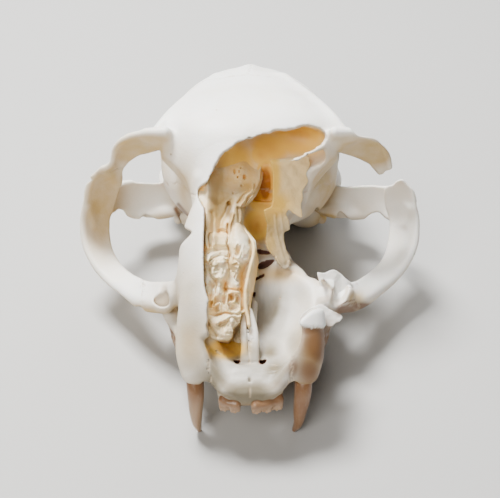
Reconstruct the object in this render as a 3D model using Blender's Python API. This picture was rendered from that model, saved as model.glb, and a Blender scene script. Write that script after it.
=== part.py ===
"""Cat skull without its lower jaw, life size, resting on its two canine tips and its two ear capsules.

Sizes are in millimetres and become metres once, in `place`. Every shape is laid out in the skull's own
frame: x to the skull's left, back from the front teeth, up from the tooth row. The finished bones lean
back until the canine tips and the ear capsules stand level. The skull is grown whole from closed forms,
hollowed where its openings show the inside, and parted into its bones along thin sutures.
"""

import math

import bmesh
import bpy
import numpy as np
from mathutils import Matrix, Vector

MM = 0.001

# Driving sizes.
HALF_CHEEK = 36.0        # half the width across the cheek arches
HALF_VAULT = 20.2        # half the width of the braincase
VAULT_BACK = 64.5        # middle of the braincase, behind the front teeth
VAULT_UP = 19.4          # middle of the braincase, above the tooth row
SUTURE = 0.3             # gap left at every suture
SOCKET = 0.3             # gap round a tooth or an ear capsule in its socket
LEAN = 8.4               # degrees, nose up, when the skull rests
REST_BACK = -45.9        # moves the middle of the length onto the origin
REST_UP = 11.6           # lets the canine tips and ear capsules reach the floor
LEFT_CANINE = (9.8, 8.5)     # how far out its neck and its tip stand
RIGHT_CANINE = (10.1, 9.7)
FAR = 200.0              # reach of a cutter that passes through everything

# How fine the fused bone is.
GRAIN = 0.7
SKULL_FACES = 3100
SCROLL_FACES = 420

FINISHES = {
    "bone": ((0.87, 0.83, 0.75, 1), 0.55),
    "tooth": ((0.88, 0.80, 0.67, 1), 0.3),
    "scroll": ((0.82, 0.68, 0.45, 1), 0.6),
}


# ---------------------------------------------------------------- making closed forms

def place(points):
    """Points in millimetres as metres."""
    return [Vector(p) * MM for p in points]


def link(name, mesh):
    """A new object for the mesh."""
    obj = bpy.data.objects.new(name, mesh)
    bpy.context.scene.collection.objects.link(obj)
    return obj


def mesh_object(name, points, faces):
    """A new mesh object whose faces point outwards."""
    mesh = bpy.data.meshes.new(name)
    mesh.from_pydata(place(points), [], faces)
    shell = bmesh.new()
    shell.from_mesh(mesh)
    bmesh.ops.recalc_face_normals(shell, faces=shell.faces)
    shell.to_mesh(mesh)
    shell.free()
    return link(name, mesh)


def turning(angles):
    """Rotation matrix for angles in degrees, taken about x, then y, then z."""
    about_x, about_y, about_z = (Matrix.Rotation(math.radians(a), 3, axis) for a, axis in zip(angles, "XYZ"))
    return about_z @ about_y @ about_x


def blob(centre, radii, below=None, turn=(0, 0, 0), around=20, rings=14):
    """An ellipsoid. `below` is another height radius for its lower half, `turn` is in degrees."""
    shell = bmesh.new()
    bmesh.ops.create_uvsphere(shell, u_segments=around, v_segments=rings, radius=1)
    low = below or radii[2]
    turned = turning(turn)
    for v in shell.verts:
        x, y, z = v.co
        local = Vector((x * radii[0], y * radii[1], z * (radii[2] if z > 0 else low)))
        v.co = (Vector(centre) + turned @ local) * MM
    mesh = bpy.data.meshes.new("blob")
    shell.to_mesh(mesh)
    shell.free()
    return link("blob", mesh)


def smooth_path(rows, per_span):
    """Catmull-Rom curve through the rows, as an array with `per_span` steps between two of them."""
    rows = np.array(rows, float)
    padded = np.vstack([2 * rows[0] - rows[1], rows, 2 * rows[-1] - rows[-2]])
    t = np.linspace(0, 1, per_span, endpoint=False)[:, None]
    spans = []
    for a, b, c, d in zip(padded, padded[1:], padded[2:], padded[3:]):
        bend = (2 * a - 5 * b + 4 * c - d) * t**2 + (3 * b - a - 3 * c + d) * t**3
        spans.append(0.5 * (2 * b + (c - a) * t + bend))
    return np.vstack([*spans, rows[-1:]])


def tube_faces(count, ring):
    """Faces of a closed tube of `count` rings of `ring` points each, with flat ends."""
    faces = [
        (r * ring + k, r * ring + (k + 1) % ring, (r + 1) * ring + (k + 1) % ring, (r + 1) * ring + k)
        for r in range(count - 1)
        for k in range(ring)
    ]
    faces.append(tuple(range(ring)))
    faces.append(tuple(range((count - 1) * ring, count * ring)))
    return faces


def unit(rows):
    """Each row scaled to length 1."""
    return rows / np.maximum(np.linalg.norm(rows, axis=1), 1e-9)[:, None]


def blade(stations, per_span=3, corner=4):
    """A flat bar of bone. Each station is (one edge, other edge, radius there, radius here): the section
    is rounded at both edges and reaches exactly to them."""
    path = smooth_path([[*a, *b, ra, rb] for a, b, ra, rb in stations], per_span)
    a, b, ra, rb = path[:, 0:3], path[:, 3:6], path[:, 6:7], path[:, 7:8]
    along = unit(np.gradient((a + b) / 2, axis=0))
    across = b - a
    across = unit(across - (across * along).sum(1)[:, None] * along)
    flat = np.cross(along, across)
    a, b = a + ra * across, b - rb * across
    points = []
    for side, edge, radius in ((-1, a, ra), (1, b, rb)):
        for angle in np.linspace(-math.pi / 2, math.pi / 2, corner):
            points.append(edge + side * radius * (math.cos(angle) * across + math.sin(angle) * flat))
    ring = len(points)
    points = np.stack(points, axis=1).reshape(-1, 3)
    return mesh_object("blade", points, tube_faces(len(path), ring))


def rod(stations, per_span=3, around=10):
    """A round bar. Each station is (x, back, up, radius)."""
    path = smooth_path(stations, per_span)
    centre, radius = path[:, :3], path[:, 3:4]
    along = unit(np.gradient(centre, axis=0))
    across = unit(np.cross(along, (0.12, 0.35, 0.93)))
    flat = np.cross(along, across)
    turn = np.linspace(0, 2 * math.pi, around, endpoint=False)
    points = [centre + radius * (math.cos(t) * across + math.sin(t) * flat) for t in turn]
    points = np.stack(points, axis=1).reshape(-1, 3)
    return mesh_object("rod", points, tube_faces(len(path), around))


def loft(sections, around=24, per_span=3):
    """A form along the skull. Each section is (back, middle x, half width, lowest, highest, squareness):
    an ellipse at squareness 2, boxier above it."""
    path = smooth_path(sections, per_span)
    angle = np.linspace(0, 2 * math.pi, around, endpoint=False)
    back, middle, half, low, high, square = (path[:, k:k + 1] for k in range(6))
    swell = 2 / square
    x = middle + half * np.sign(np.cos(angle)) * np.abs(np.cos(angle)) ** swell
    up = (low + high) / 2 + (high - low) / 2 * np.sign(np.sin(angle)) * np.abs(np.sin(angle)) ** swell
    points = np.stack([x, back + 0 * x, up], axis=2).reshape(-1, 3)
    return mesh_object("loft", points, tube_faces(len(path), around))


def prism(outline, depth):
    """A flat plate: an outline in one plane, given a thickness along `depth`."""
    count = len(outline)
    points = [*outline, *(Vector(p) + Vector(depth) for p in outline)]
    faces = [(k, (k + 1) % count, count + (k + 1) % count, count + k) for k in range(count)]
    faces += [tuple(range(count)), tuple(range(count, 2 * count))]
    return mesh_object("prism", points, faces)


def box(low, high, turn=(0, 0, 0), about=None):
    """A block between two corners, turned in degrees about its middle or about a point."""
    low, high = Vector(low), Vector(high)
    middle = Vector(about) if about else (low + high) / 2
    turned = turning(turn)
    corners = [Vector((x, y, z)) for x in (low.x, high.x) for y in (low.y, high.y) for z in (low.z, high.z)]
    points = [middle + turned @ (corner - middle) for corner in corners]
    faces = [(0, 1, 3, 2), (4, 6, 7, 5), (0, 4, 5, 1), (2, 3, 7, 6), (0, 2, 6, 4), (1, 5, 7, 3)]
    return mesh_object("box", points, faces)


def mirror(obj):
    """A form moved to the other side of the skull."""
    obj.data.transform(Matrix.Scale(-1, 4, (1, 0, 0)))
    obj.data.flip_normals()
    return obj


def both(make, *args, **kw):
    """The same form on both sides of the skull."""
    return [make(*args, **kw), mirror(make(*args, **kw))]


# ---------------------------------------------------------------- joining, cutting and parting

def settle(obj):
    """Turns an object's modifiers into its mesh."""
    graph = bpy.context.evaluated_depsgraph_get()
    mesh = bpy.data.meshes.new_from_object(obj.evaluated_get(graph))
    obj.modifiers.clear()
    obj.data = mesh
    return obj


def fuse(forms, grain=GRAIN, smoothing=4):
    """Overlapping closed forms grown into one smooth body."""
    bulk = bmesh.new()
    for form in forms:
        bulk.from_mesh(form.data)
        bpy.data.objects.remove(form)
    mesh = bpy.data.meshes.new("fused")
    bulk.to_mesh(mesh)
    bulk.free()
    body = link("fused", mesh)
    remesh = body.modifiers.new("grow", "REMESH")
    remesh.mode = "VOXEL"
    remesh.voxel_size = grain * MM
    smooth = body.modifiers.new("smooth", "SMOOTH")
    smooth.factor = 0.5
    smooth.iterations = smoothing
    return settle(body)


def thin_out(body, faces):
    """Fewer triangles for the same form."""
    body.data.calc_loop_triangles()
    decimate = body.modifiers.new("thin", "DECIMATE")
    decimate.ratio = min(1.0, faces / len(body.data.loop_triangles))
    return settle(body)


def combine(body, others, operation):
    """Boolean of the body with each of the others, which are used up."""
    for other in others:
        cut = body.modifiers.new("cut", "BOOLEAN")
        cut.operation = operation
        cut.solver = "EXACT"
        cut.object = other
        settle(body)
        bpy.data.objects.remove(other)
    return body


def carve(body, cutters):
    """The body without the cutters."""
    return combine(body, cutters, "DIFFERENCE")


def islands(mesh):
    """The separate pieces of a mesh, largest first, each as (middle, size, list of face indices)."""
    shell = bmesh.new()
    shell.from_mesh(mesh)
    shell.faces.ensure_lookup_table()
    seen = set()
    found = []
    for start in shell.faces:
        if start.index in seen:
            continue
        group = [start]
        seen.add(start.index)
        for face in group:
            for edge in face.edges:
                for other in edge.link_faces:
                    if other.index not in seen:
                        seen.add(other.index)
                        group.append(other)
        corners = [v.co for face in group for v in face.verts]
        low = Vector(min(c[k] for c in corners) for k in range(3))
        high = Vector(max(c[k] for c in corners) for k in range(3))
        found.append(((low + high) / 2, (high - low).length, [face.index for face in group]))
    shell.free()
    return sorted(found, key=lambda piece: -piece[1])


def keep_largest(obj):
    """Drops crumbs that a cut leaves beside the main piece."""
    main = set(islands(obj.data)[0][2])
    shell = bmesh.new()
    shell.from_mesh(obj.data)
    bmesh.ops.delete(shell, geom=[f for f in shell.faces if f.index not in main], context="FACES")
    shell.to_mesh(obj.data)
    shell.free()
    return obj


def take(body, region, name):
    """Parts the piece inside the region from the body, with a suture between them. `region` makes the
    cutter for a given growth in millimetres."""
    piece = link(name, body.data.copy())
    combine(piece, [region(-SUTURE / 2)], "INTERSECT")
    carve(body, [region(SUTURE / 2)])
    return keep_largest(piece)


def block(low, high, turn=(0, 0, 0), about=None):
    """A region for `take`: a block that can grow."""
    def region(grow):
        return box([v - grow for v in low], [v + grow for v in high], turn, about)
    return region


# ---------------------------------------------------------------- the bony forms

def vault_forms():
    """Braincase, forehead, muzzle, tooth rows and the crests at the back of the head."""
    forms = [
        blob((0, VAULT_BACK, VAULT_UP), (HALF_VAULT, 25, 19.2), below=15, around=32, rings=20),
        # forehead
        loft([
            (32, 0, 10.4, 14, 31.6, 2.3), (36, 0, 12.0, 14, 35.0, 2.4), (40, 0, 15.2, 16, 37.8, 2.5),
            (44, 0, 17.5, 20, 39.4, 2.45), (48, 0, 16.6, 22, 40.1, 2.4), (53, 0, 15.2, 22, 40.2, 2.3),
            (59, 0, 14.4, 22, 39.6, 2.2), (66, 0, 12.0, 24, 38.4, 2.0),
        ]),
        # muzzle and the roof of the mouth
        loft([
            (0.4, 0, 5.4, 0.4, 3.4, 2), (3, 0, 8.6, -0.3, 6.6, 2.2), (6, 0, 12.2, -0.6, 11.4, 2.4),
            (10, 0, 13.2, -0.6, 15.6, 2.6), (15, 0, 13.4, -0.6, 19.6, 2.6), (20, 0, 14.0, -0.6, 23.0, 2.6),
            (25, 0, 14.6, -0.6, 26.6, 2.5), (30, 0, 13.4, 0.0, 30.2, 2.4), (36, 0, 9.4, 1.0, 31.0, 2.2),
            (43, 0, 7.8, 2.4, 30.0, 2.2), (54, 0, 8.0, 4.4, 24.0, 2.0),
        ]),
        blob((0, 72, 7.2), (9.5, 16, 3.2)),
        blob((0, 82, 14), (14.5, 6, 11.5)),
        # low crest along the crown
        blade([
            ((0, 66, 38.9), (0, 66, 34), 0.9, 0.9), ((0, 74, 37.2), (0, 74, 30), 1.0, 1.0),
            ((0, 81, 34.8), (0, 80, 27), 1.1, 1.1), ((0, 88.4, 31.0), (0, 84, 24), 1.4, 1.4),
        ]),
    ]
    # crest across the nape
    forms += both(blade, [
        ((0, 88.6, 30.8), (0, 82, 25), 1.1, 1.4), ((7, 87.2, 29.0), (6, 80.5, 24), 1.0, 1.4),
        ((13.6, 84.0, 24.0), (11.5, 78.0, 20.5), 0.9, 1.4), ((18.0, 80.6, 16.5), (15, 75.5, 15), 0.9, 1.4),
        ((19.6, 76.6, 9.6), (16, 73.5, 9.5), 1.3, 1.4),
    ])
    # ridge over each temple, from the brow to the crown
    forms += both(blade, [
        ((20.6, 43.4, 35.2), (15.4, 47, 31), 1.2, 1.4), ((16.6, 46.4, 37.3), (12.4, 49, 34), 1.2, 1.4),
        ((13.7, 51.0, 38.6), (10, 53, 35), 1.1, 1.4), ((10.4, 58.0, 39.1), (7, 59, 35), 1.0, 1.4),
        ((6.0, 66.5, 38.7), (3, 66, 34), 0.9, 1.4),
    ])
    # roots of the canines, bulging on the muzzle
    forms += both(rod, [
        (10.2, 5.8, 0.3, 2.9), (10.8, 8.4, 5.2, 2.8), (10.8, 12.4, 10.4, 2.3), (10.4, 16.4, 14.6, 1.6),
    ])
    # bone that holds the cheek teeth
    forms += both(blade, [
        ((12.6, 9, 1.2), (7, 9, 1.6), 1.6, 1.4), ((13.6, 15, 1.2), (8, 15, 1.6), 1.6, 1.4),
        ((15.0, 21, 1.5), (9, 21, 1.8), 1.8, 1.5), ((17.6, 27, 2.2), (11, 27, 2.0), 1.9, 1.5),
        ((18.0, 33, 2.8), (8, 33, 2.2), 1.8, 1.5), ((12.6, 37.8, 2.8), (4, 37.8, 2.2), 1.5, 1.4),
    ])
    return forms


def eye_hollows():
    """The eye sockets, and behind them the hollows that the jaw muscles filled."""
    return both(loft, [
        (24.4, 17.6, 3.0, 12.0, 19.5, 2.0), (26.6, 20.6, 7.4, 8.6, 27.5, 2.1),
        (30.5, 23.6, 11.8, 6.2, 31.6, 2.2), (36, 26.0, 15.0, 5.4, 33.2, 2.3),
        (42, 28.0, 16.2, 3.0, 32.6, 2.3), (48, 29.5, 14.8, -3.0, 29.4, 2.3),
        (54, 31.0, 12.4, -6.0, 25.0, 2.2), (59, 32.0, 10.8, -8.0, 22.0, 2.0),
    ])


# Brows and cheek arches run from above to below, as stations of a blade.
BROW = [
    ((17.0, 41.2, 36.8), (13.0, 44.0, 29.0), 1.9, 1.9),
    ((20.8, 42.6, 35.2), (17.0, 46.6, 29.2), 1.6, 1.5),
    ((24.2, 43.6, 33.4), (20.6, 48.0, 27.6), 1.3, 1.2),
    ((27.8, 45.8, 29.8), (24.8, 50.0, 25.2), 1.15, 1.05),
]
CLOSED_BROW = BROW + [
    ((29.4, 46.4, 26.4), (26.6, 50.8, 22.6), 1.1, 1.0),
    ((30.2, 46.6, 24.4), (27.4, 51.4, 20.0), 1.0, 1.0),
]
BROKEN_BROW = BROW + [
    ((29.9, 46.2, 27.6), (26.4, 49.6, 24.6), 1.0, 0.9),
    ((30.5, 46.5, 25.8), (27.2, 48.8, 24.1), 0.8, 0.8),
]
CHEEK = [
    ((HALF_CHEEK - 0.9, 46.8, 17.8), (29.3, 52.2, 14.0), 1.1, 1.1),
    ((HALF_CHEEK, 46.0, 13.1), (30.4, 51.2, 10.2), 1.1, 1.1),
    ((HALF_CHEEK - 0.3, 44.0, 9.1), (29.8, 48.2, 6.4), 1.15, 1.1),
    ((33.9, 41.0, 6.2), (27.8, 43.4, 4.6), 1.2, 1.1),
    ((30.9, 37.5, 3.9), (24.2, 38.4, 4.8), 1.35, 1.2),
    ((26.9, 33.0, 2.9), (20.1, 32.6, 7.0), 1.7, 1.5),
    ((22.4, 28.2, 2.6), (15.6, 28.4, 9.2), 2.0, 1.8),
    ((17.4, 23.6, 4.6), (12.6, 25.0, 11.4), 2.0, 2.0),
]
CLOSED_CHEEK = [
    ((31.6, 46.6, 25.0), (27.6, 51.6, 22.0), 1.0, 1.0),
    ((33.6, 47.0, 22.2), (27.9, 52.4, 18.0), 1.05, 1.05),
] + CHEEK
BROKEN_CHEEK = [
    ((32.6, 47.2, 22.8), (30.4, 50.0, 21.8), 0.9, 0.9),
    ((34.4, 47.2, 20.4), (29.3, 51.6, 18.6), 1.05, 1.05),
] + CHEEK


def arch_forms():
    """Brows and cheek arches. The right ring is whole, the left one is broken open below the brow."""
    forms = [mirror(blade(CLOSED_BROW)), mirror(blade(CLOSED_CHEEK)), blade(BROKEN_BROW), blade(BROKEN_CHEEK)]
    # root of the arch on the temple, reaching forward under the cheek bone, and the jaw joint under it
    forms += both(blade, [
        ((15.5, 66.5, 19.0), (15.0, 66.0, 5.2), 1.8, 1.8), ((20.5, 63.4, 17.0), (19.4, 63.2, 6.2), 1.4, 1.5),
        ((25.6, 60.2, 16.2), (25.0, 60.4, 7.0), 1.05, 1.3), ((30.8, 56.4, 16.2), (30.2, 56.8, 8.8), 1.0, 1.1),
        ((33.2, 51.0, 17.0), (32.4, 51.4, 9.4), 1.0, 1.0), ((34.2, 47.6, 16.4), (33.6, 47.8, 11.0), 0.9, 0.9),
    ])
    forms += both(blob, (20.8, 63.2, 7.3), (6.8, 3.8, 2.1), turn=(0, 0, -14))
    forms += both(rod, [(16.4, 65.6, 7.0, 1.6), (16.6, 65.4, 3.2, 1.1)])
    return forms


def base_forms():
    """Wings beside the throat passage, ear capsules' backing, knobs behind the ears and neck joints."""
    forms = both(blade, [
        ((7.4, 33, 0.6), (7.8, 33, 12), 1.0, 1.2), ((6.6, 41, -0.4), (7.2, 41, 10), 0.85, 1.0),
        ((6.2, 47, -1.8), (6.6, 47, 9), 0.8, 1.0), ((6.0, 51.4, -3.0), (6.4, 51.4, 5), 0.8, 0.9),
        ((6.0, 53.4, -3.2), (6.2, 54.6, 1.0), 0.7, 0.7),
    ])
    forms += both(blob, (16.2, 73.0, 9.8), (5.2, 7.6, 4.4))
    forms += both(blob, (11.5, 72.0, 8.4), (5.6, 8.6, 3.4))
    forms += both(rod, [(14.8, 79.8, 9.6, 2.7), (14.6, 81.4, 5.6, 2.0), (14.2, 82.4, 2.2, 1.1)])
    forms += both(blob, (6.4, 86.4, 8.6), (2.9, 4.2, 5.0), turn=(-30, 0, 20))
    return forms


def full_skull():
    """All the fused bone as one body with the true outline, still full inside."""
    body = carve(fuse(vault_forms()), eye_hollows())
    return fuse([body, *arch_forms(), *base_forms()])


# ---------------------------------------------------------------- hollows and breaks

NOSE = [
    (2.6, 0, 2.6, 3.6, 8, 2), (4.5, 0, 5.0, 2.9, 14, 2.2), (8, 0, 7.3, 2.6, 22, 2.4),
    (14, 0, 8.4, 2.6, 28, 2.5), (20, 0, 8.8, 2.7, 33, 2.5), (26, 0, 8.8, 3.0, 38, 2.5),
    (31, 0, 8.6, 5.0, 42, 2.4), (36, 0, 7.6, 10.6, 32, 2.3), (40, 0, 6.4, 13.6, 30, 2.2),
]


def nose_hollow(grow=0.0, sections=NOSE):
    """The nose's inside, open above where the nose bones are missing."""
    ends = [-grow if k == 0 else grow if k == len(sections) - 1 else 0 for k in range(len(sections))]
    return loft([
        (back + end, middle, half + grow, low - grow, high + grow, square)
        for end, (back, middle, half, low, high, square) in zip(ends, sections)
    ])


def breaks():
    """What is broken away: bone over the left sinus, the nose's left side and its wall to the eye."""
    sinus = [
        loft([
            (28, 2.5, 10.9, 24, 60, 6), (33, 3.4, 10.7, 28, 60, 6), (36, 5.2, 9.8, 30.5, 60, 6),
            (38, 7.2, 8.2, 31.2, 60, 6), (39.6, 8.8, 5.6, 32, 60, 5), (40.8, 9.6, 2.6, 33, 60, 4),
        ]),
        blob((7.6, 42.6, 33.4), (9.4, 9.2, 4.9)),
        blob((-1.6, 39.0, 32.0), (5.6, 5.6, 4.6)),
    ]
    side = [
        loft([
            (-2, 12.4, 12.0, 3.6, 60, 8), (3.6, 12.4, 12.0, 3.6, 60, 8), (7, 12.4, 12.0, 6.0, 60, 8),
            (9.4, 12.4, 12.0, 8.0, 60, 8), (13, 12.4, 12.0, 9.6, 60, 8), (19, 12.4, 12.0, 10.4, 60, 8),
            (25, 12.4, 12.0, 13.0, 60, 8), (29, 12.4, 12.0, 15.0, 60, 8),
        ]),
        blob((11.0, 32.0, 20.6), (6.4, 8.6, 9.4)),
    ]
    return sinus + side


def passages():
    """Throat passage, opening for the spinal cord, ear holes and the channel in front of each eye socket."""
    throat = loft([
        (22, 0, 4.2, 3.0, 7.4, 2.2), (30, 0, 5.0, 2.9, 7.8, 2.3), (36.4, 0, 5.2, 2.9, 7.8, 2.4),
        (39.6, 0, 5.2, -8, 7.6, 3), (46, 0, 5.0, -8, 7.0, 3), (55, 0, 4.4, -8, 5.6, 3),
        (59, 0, 3.0, -8, 4.4, 3),
    ])
    cord = blob((0, 85.6, 11.0), (6.6, 12, 5.4), turn=(-12, 0, 0))
    keyhole = blob((3.0, 47, 28.0), (1.3, 6, 3.6), turn=(10, 0, 0))
    ears = both(rod, [(23, 67.2, 8.6, 2.0), (15.2, 69.4, 8.2, 1.7)])
    channels = both(rod, [(14.6, 18.4, 7.0, 1.5), (16.6, 24.6, 8.8, 1.6), (19.6, 33, 11.5, 1.8)])
    return [throat, cord, keyhole, *ears, *channels]


def ear_capsule(grow=0.0):
    """The left ear capsule."""
    radii = (5.7 + grow, 9.4 + grow, 6.6 + grow)
    return blob((12.2, 72.2, 5.0), radii, turn=(0, 0, 12), around=16, rings=10)


def canine(neck_x, tip_x, grow=0.0):
    """A left canine, from inside its socket to its tip, a little bowed outwards."""
    top, low = 3.4 + grow, -11.3 - grow
    bow = (neck_x + tip_x) / 2
    return rod([
        (neck_x + 0.3, 6.6, top, 1.4 + grow),
        (neck_x + 0.1, 5.6, 1.0, 1.9 + grow),
        (neck_x, 5.3, -1.4, 1.85 + grow),
        (bow + 0.25, 5.7, -4.8, 1.45 + grow),
        (0.35 * neck_x + 0.65 * tip_x + 0.2, 6.6, -8.2, 1.05 + grow),
        (tip_x, 7.7, low, 0.45 + grow),
    ], per_span=2)


def cheek_teeth():
    """The left cheek teeth: a stub, a pointed tooth, the long cutting tooth with three points, and a stub."""
    pointed = [(14.4, -0.8), (15.6, -2.4), (16.8, -4.4), (18.0, -2.6), (19.6, -1.6)]
    cutting = [
        (20.4, -1.4), (21.8, -3.4), (23.2, -3.0), (25.2, -6.0), (27.2, -3.6), (29.4, -4.0), (31.2, -1.2),
    ]
    rows = []
    for profile, front_x, splay in ((pointed, 12.4, 0.24), (cutting, 13.6, 0.28)):
        out = [front_x + splay * (back - profile[0][0]) for back, tip in profile]
        rows.append(blade([
            ((x, back, 2.4), (x - 0.3, back, tip), 1.5, 0.45) for x, (back, tip) in zip(out, profile)
        ], per_span=1, corner=3))
    front_stub = [(12.2, 11.8, 2.0, 1.0), (12.2, 11.8, 0, 0.9), (12.2, 12.0, -1.4, 0.4)]
    back_stub = [(15.4, 33.0, 2.4, 1.1), (15.4, 33.0, 0.4, 1.1), (15.6, 33.0, -0.8, 0.5)]
    return rows + [rod(stub, per_span=1, around=7) for stub in (front_stub, back_stub)]


def front_teeth():
    """The front teeth that are left: three on the left, two on the right."""
    size = {1: (1.15, 0.8, -2.3), 2: (3.05, 0.9, -2.4), 3: (5.0, 1.05, -2.7)}
    teeth = []
    for side, numbers in ((1, (1, 2, 3)), (-1, (2, 3))):
        for number in numbers:
            x, radius, tip = size[number]
            back = 0.5 + 0.05 * x * x
            teeth.append(rod([
                (side * x, back + 1.2, 2.2, radius), (side * x, back + 0.5, -0.2, radius),
                (side * x * 1.03, back + 0.4, tip, 0.55 * radius),
            ], per_span=1, around=7))
    return teeth


def snout_floor():
    """Front of the upper jaw under the nose opening, down to where the front teeth stand."""
    return blade([
        ((-6.4, 3.2, -0.4), (-6.2, 4.6, 3.4), 1.2, 1.2), ((-3.4, 1.3, -1.0), (-3.2, 2.6, 3.6), 1.25, 1.25),
        ((0, 0.7, -1.0), (0, 2.0, 3.6), 1.3, 1.3),
        ((3.4, 1.3, -1.0), (3.2, 2.6, 3.6), 1.25, 1.25), ((6.4, 3.2, -0.4), (6.2, 4.6, 3.4), 1.2, 1.2),
    ])


# ---------------------------------------------------------------- loose pieces

def septum(grow=0.0):
    """The thin wall down the middle of the nose, bent like an S, thicker at its foot."""
    r = 0.42 + grow
    return blade([
        ((-1.2, 28.5, 28.4 + grow), (-0.6, 39 + grow, 24), r, r),
        ((0.2, 24.5, 24.2 + grow), (-0.2, 37, 17), r, r),
        ((1.4, 20.8, 20.3 + grow), (0.4, 34, 9), r, r),
        ((0.7, 17.2, 17.2 + grow), (0.4, 29, 4), r, r),
        ((-0.4, 13, 14.0 + grow), (0, 23, 2), r, r),
        ((0, 8.6, 9.6 + grow), (0, 16, 1.5), r + 0.2, r + 0.2),
        ((0, 5.4 - grow, 5.8 + grow), (0, 9, 1.5), r + 0.5, r + 0.5),
    ], per_span=2)


def scrolls():
    """The crumpled scrolls that fill the right side of the nose, joined as one mass."""
    lumps = [
        ((-4.6, 30.5, 24.5), (3.4, 5.5, 4.6)), ((-6.4, 27.0, 20.0), (1.8, 4.5, 4.0)),
        ((-3.4, 25.5, 20.5), (1.7, 4.5, 4.5)), ((-5.8, 21.0, 16.5), (2.5, 4.5, 3.2)),
        ((-2.8, 20.5, 16.0), (1.6, 4.0, 3.2)), ((-5.6, 17.5, 13.0), (2.8, 3.6, 2.8)),
        ((-3.0, 16.0, 11.5), (1.9, 3.2, 2.6)), ((-5.0, 13.0, 8.4), (2.9, 3.0, 2.6)),
        ((-4.6, 24.0, 12.0), (3.0, 7.0, 5.0)), ((-4.4, 34.0, 19.0), (3.2, 5.0, 7.0)),
    ]
    mass = fuse([blob(centre, radii, around=14, rings=10) for centre, radii in lumps], smoothing=2)
    mass = thin_out(mass, SCROLL_FACES)
    combine(mass, [nose_hollow(-0.4)], "INTERSECT")
    carve(mass, [septum(0.35)])
    return keep_largest(mass)


def socket_plate():
    """What is left of the left eye socket's inner wall: a thin ragged plate under the brow, like a fan."""
    teeth, top, thick = 5, 32.4, 0.8
    first, last = Vector((4.2, 37.0, top)), Vector((12.4, 42.6, top))
    outline = [last, first]
    for k in range(2 * teeth + 1):
        along = k / (2 * teeth)
        spread = first.lerp(last, along)
        deep = 9.0 + 3.4 * math.sin(math.pi * along) + (1.5 if k % 2 else -1.3)
        outline.append(Vector((spread.x, spread.y, top - deep)))
    return prism(outline, Vector((0.55, -0.8, 0)).normalized() * thick)


def broken_root():
    """Splintered flakes where the left cheek arch breaks from the upper jaw."""
    upper = blade([
        ((13.2, 24.6, 13.2), (12.6, 22, 7), 0.5, 1.0), ((15.6, 26.4, 14.0), (14.4, 23, 6), 0.5, 1.2),
        ((17.6, 28.0, 11.8), (16.6, 24, 5), 0.5, 1.2), ((19.8, 29.6, 8.6), (18.6, 26, 3.5), 0.5, 1.0),
    ], per_span=2)
    lower = blade([
        ((10.4, 17.4, 8.8), (11.0, 13, 5), 0.5, 1.0), ((14.0, 18.8, 7.2), (13.4, 15.5, 4), 0.5, 1.0),
        ((17.2, 21.0, 5.4), (15.8, 20, 3), 0.5, 0.9), ((19.2, 24.0, 3.4), (17.4, 24, 2.4), 0.4, 0.8),
    ], per_span=2)
    return [upper, lower]


# ---------------------------------------------------------------- the finished bones

def parted(body):
    """The body as its named bones. Each region takes all that is still there inside it, front to back."""
    regions = {
        "zygomatic_right": block((-FAR, 8, -20), (-21.8, 54.2, 24.4)),
        "zygomatic_left": block((21.8, 8, -20), (FAR, 54.2, 23.4)),
        "frontal": block((-FAR, -FAR, 28), (FAR, 57, FAR), turn=(-20, 0, 0), about=(0, 28, 28)),
        "occipital": block((-FAR, 76.5, -FAR), (FAR, FAR, FAR), turn=(-18, 0, 0), about=(0, 76.5, 6)),
        "premaxilla": block((-7.5, -FAR, -20), (7.5, 8.4, 16)),
        "maxilla_right": block((-FAR, -FAR, -20), (0, 37.6, 60)),
        "maxilla_left": block((0, -FAR, -20), (FAR, 37.6, 60)),
        "palatine": block((-FAR, -FAR, -20), (FAR, 54.5, 60)),
        "temporal_left": block((13.6, -FAR, -20), (FAR, FAR, 17.5)),
        "temporal_right": block((-FAR, -FAR, -20), (-13.6, FAR, 17.5)),
        "sphenoid": block((-FAR, -FAR, -20), (FAR, FAR, 9.5)),
        "parietal_left": block((0, -FAR, -FAR), (FAR, FAR, FAR)),
        "parietal_right": block((-FAR, -FAR, -FAR), (0, FAR, FAR)),
    }
    bones = {name: take(body, region, name) for name, region in regions.items()}
    bpy.data.objects.remove(body)
    return bones


def finish(obj, name, material):
    """Names the bone, gives it its material and leans it back to the resting pose, cut flat at the floor."""
    obj.name = name
    obj.data.name = name
    turned = Matrix.Rotation(math.radians(-LEAN), 4, "X")
    obj.data.transform(Matrix.Translation((0, REST_BACK * MM, REST_UP * MM)) @ turned)
    obj.data.materials.clear()
    obj.data.materials.append(material)
    if min(v.co.z for v in obj.data.vertices) < 0:
        carve(obj, [box((-FAR, -FAR, -FAR), (FAR, FAR, 0))])
    obj.data.shade_smooth()
    obj.data.set_sharp_from_angle(angle=math.radians(40))


def made_material(name):
    """A plain finish for the solids."""
    colour, roughness = FINISHES[name]
    material = bpy.data.materials.new(name)
    material.use_nodes = True
    shader = material.node_tree.nodes["Principled BSDF"]
    shader.inputs["Base Color"].default_value = colour
    shader.inputs["Roughness"].default_value = roughness
    shader.inputs["Metallic"].default_value = 0.0
    return material


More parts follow.
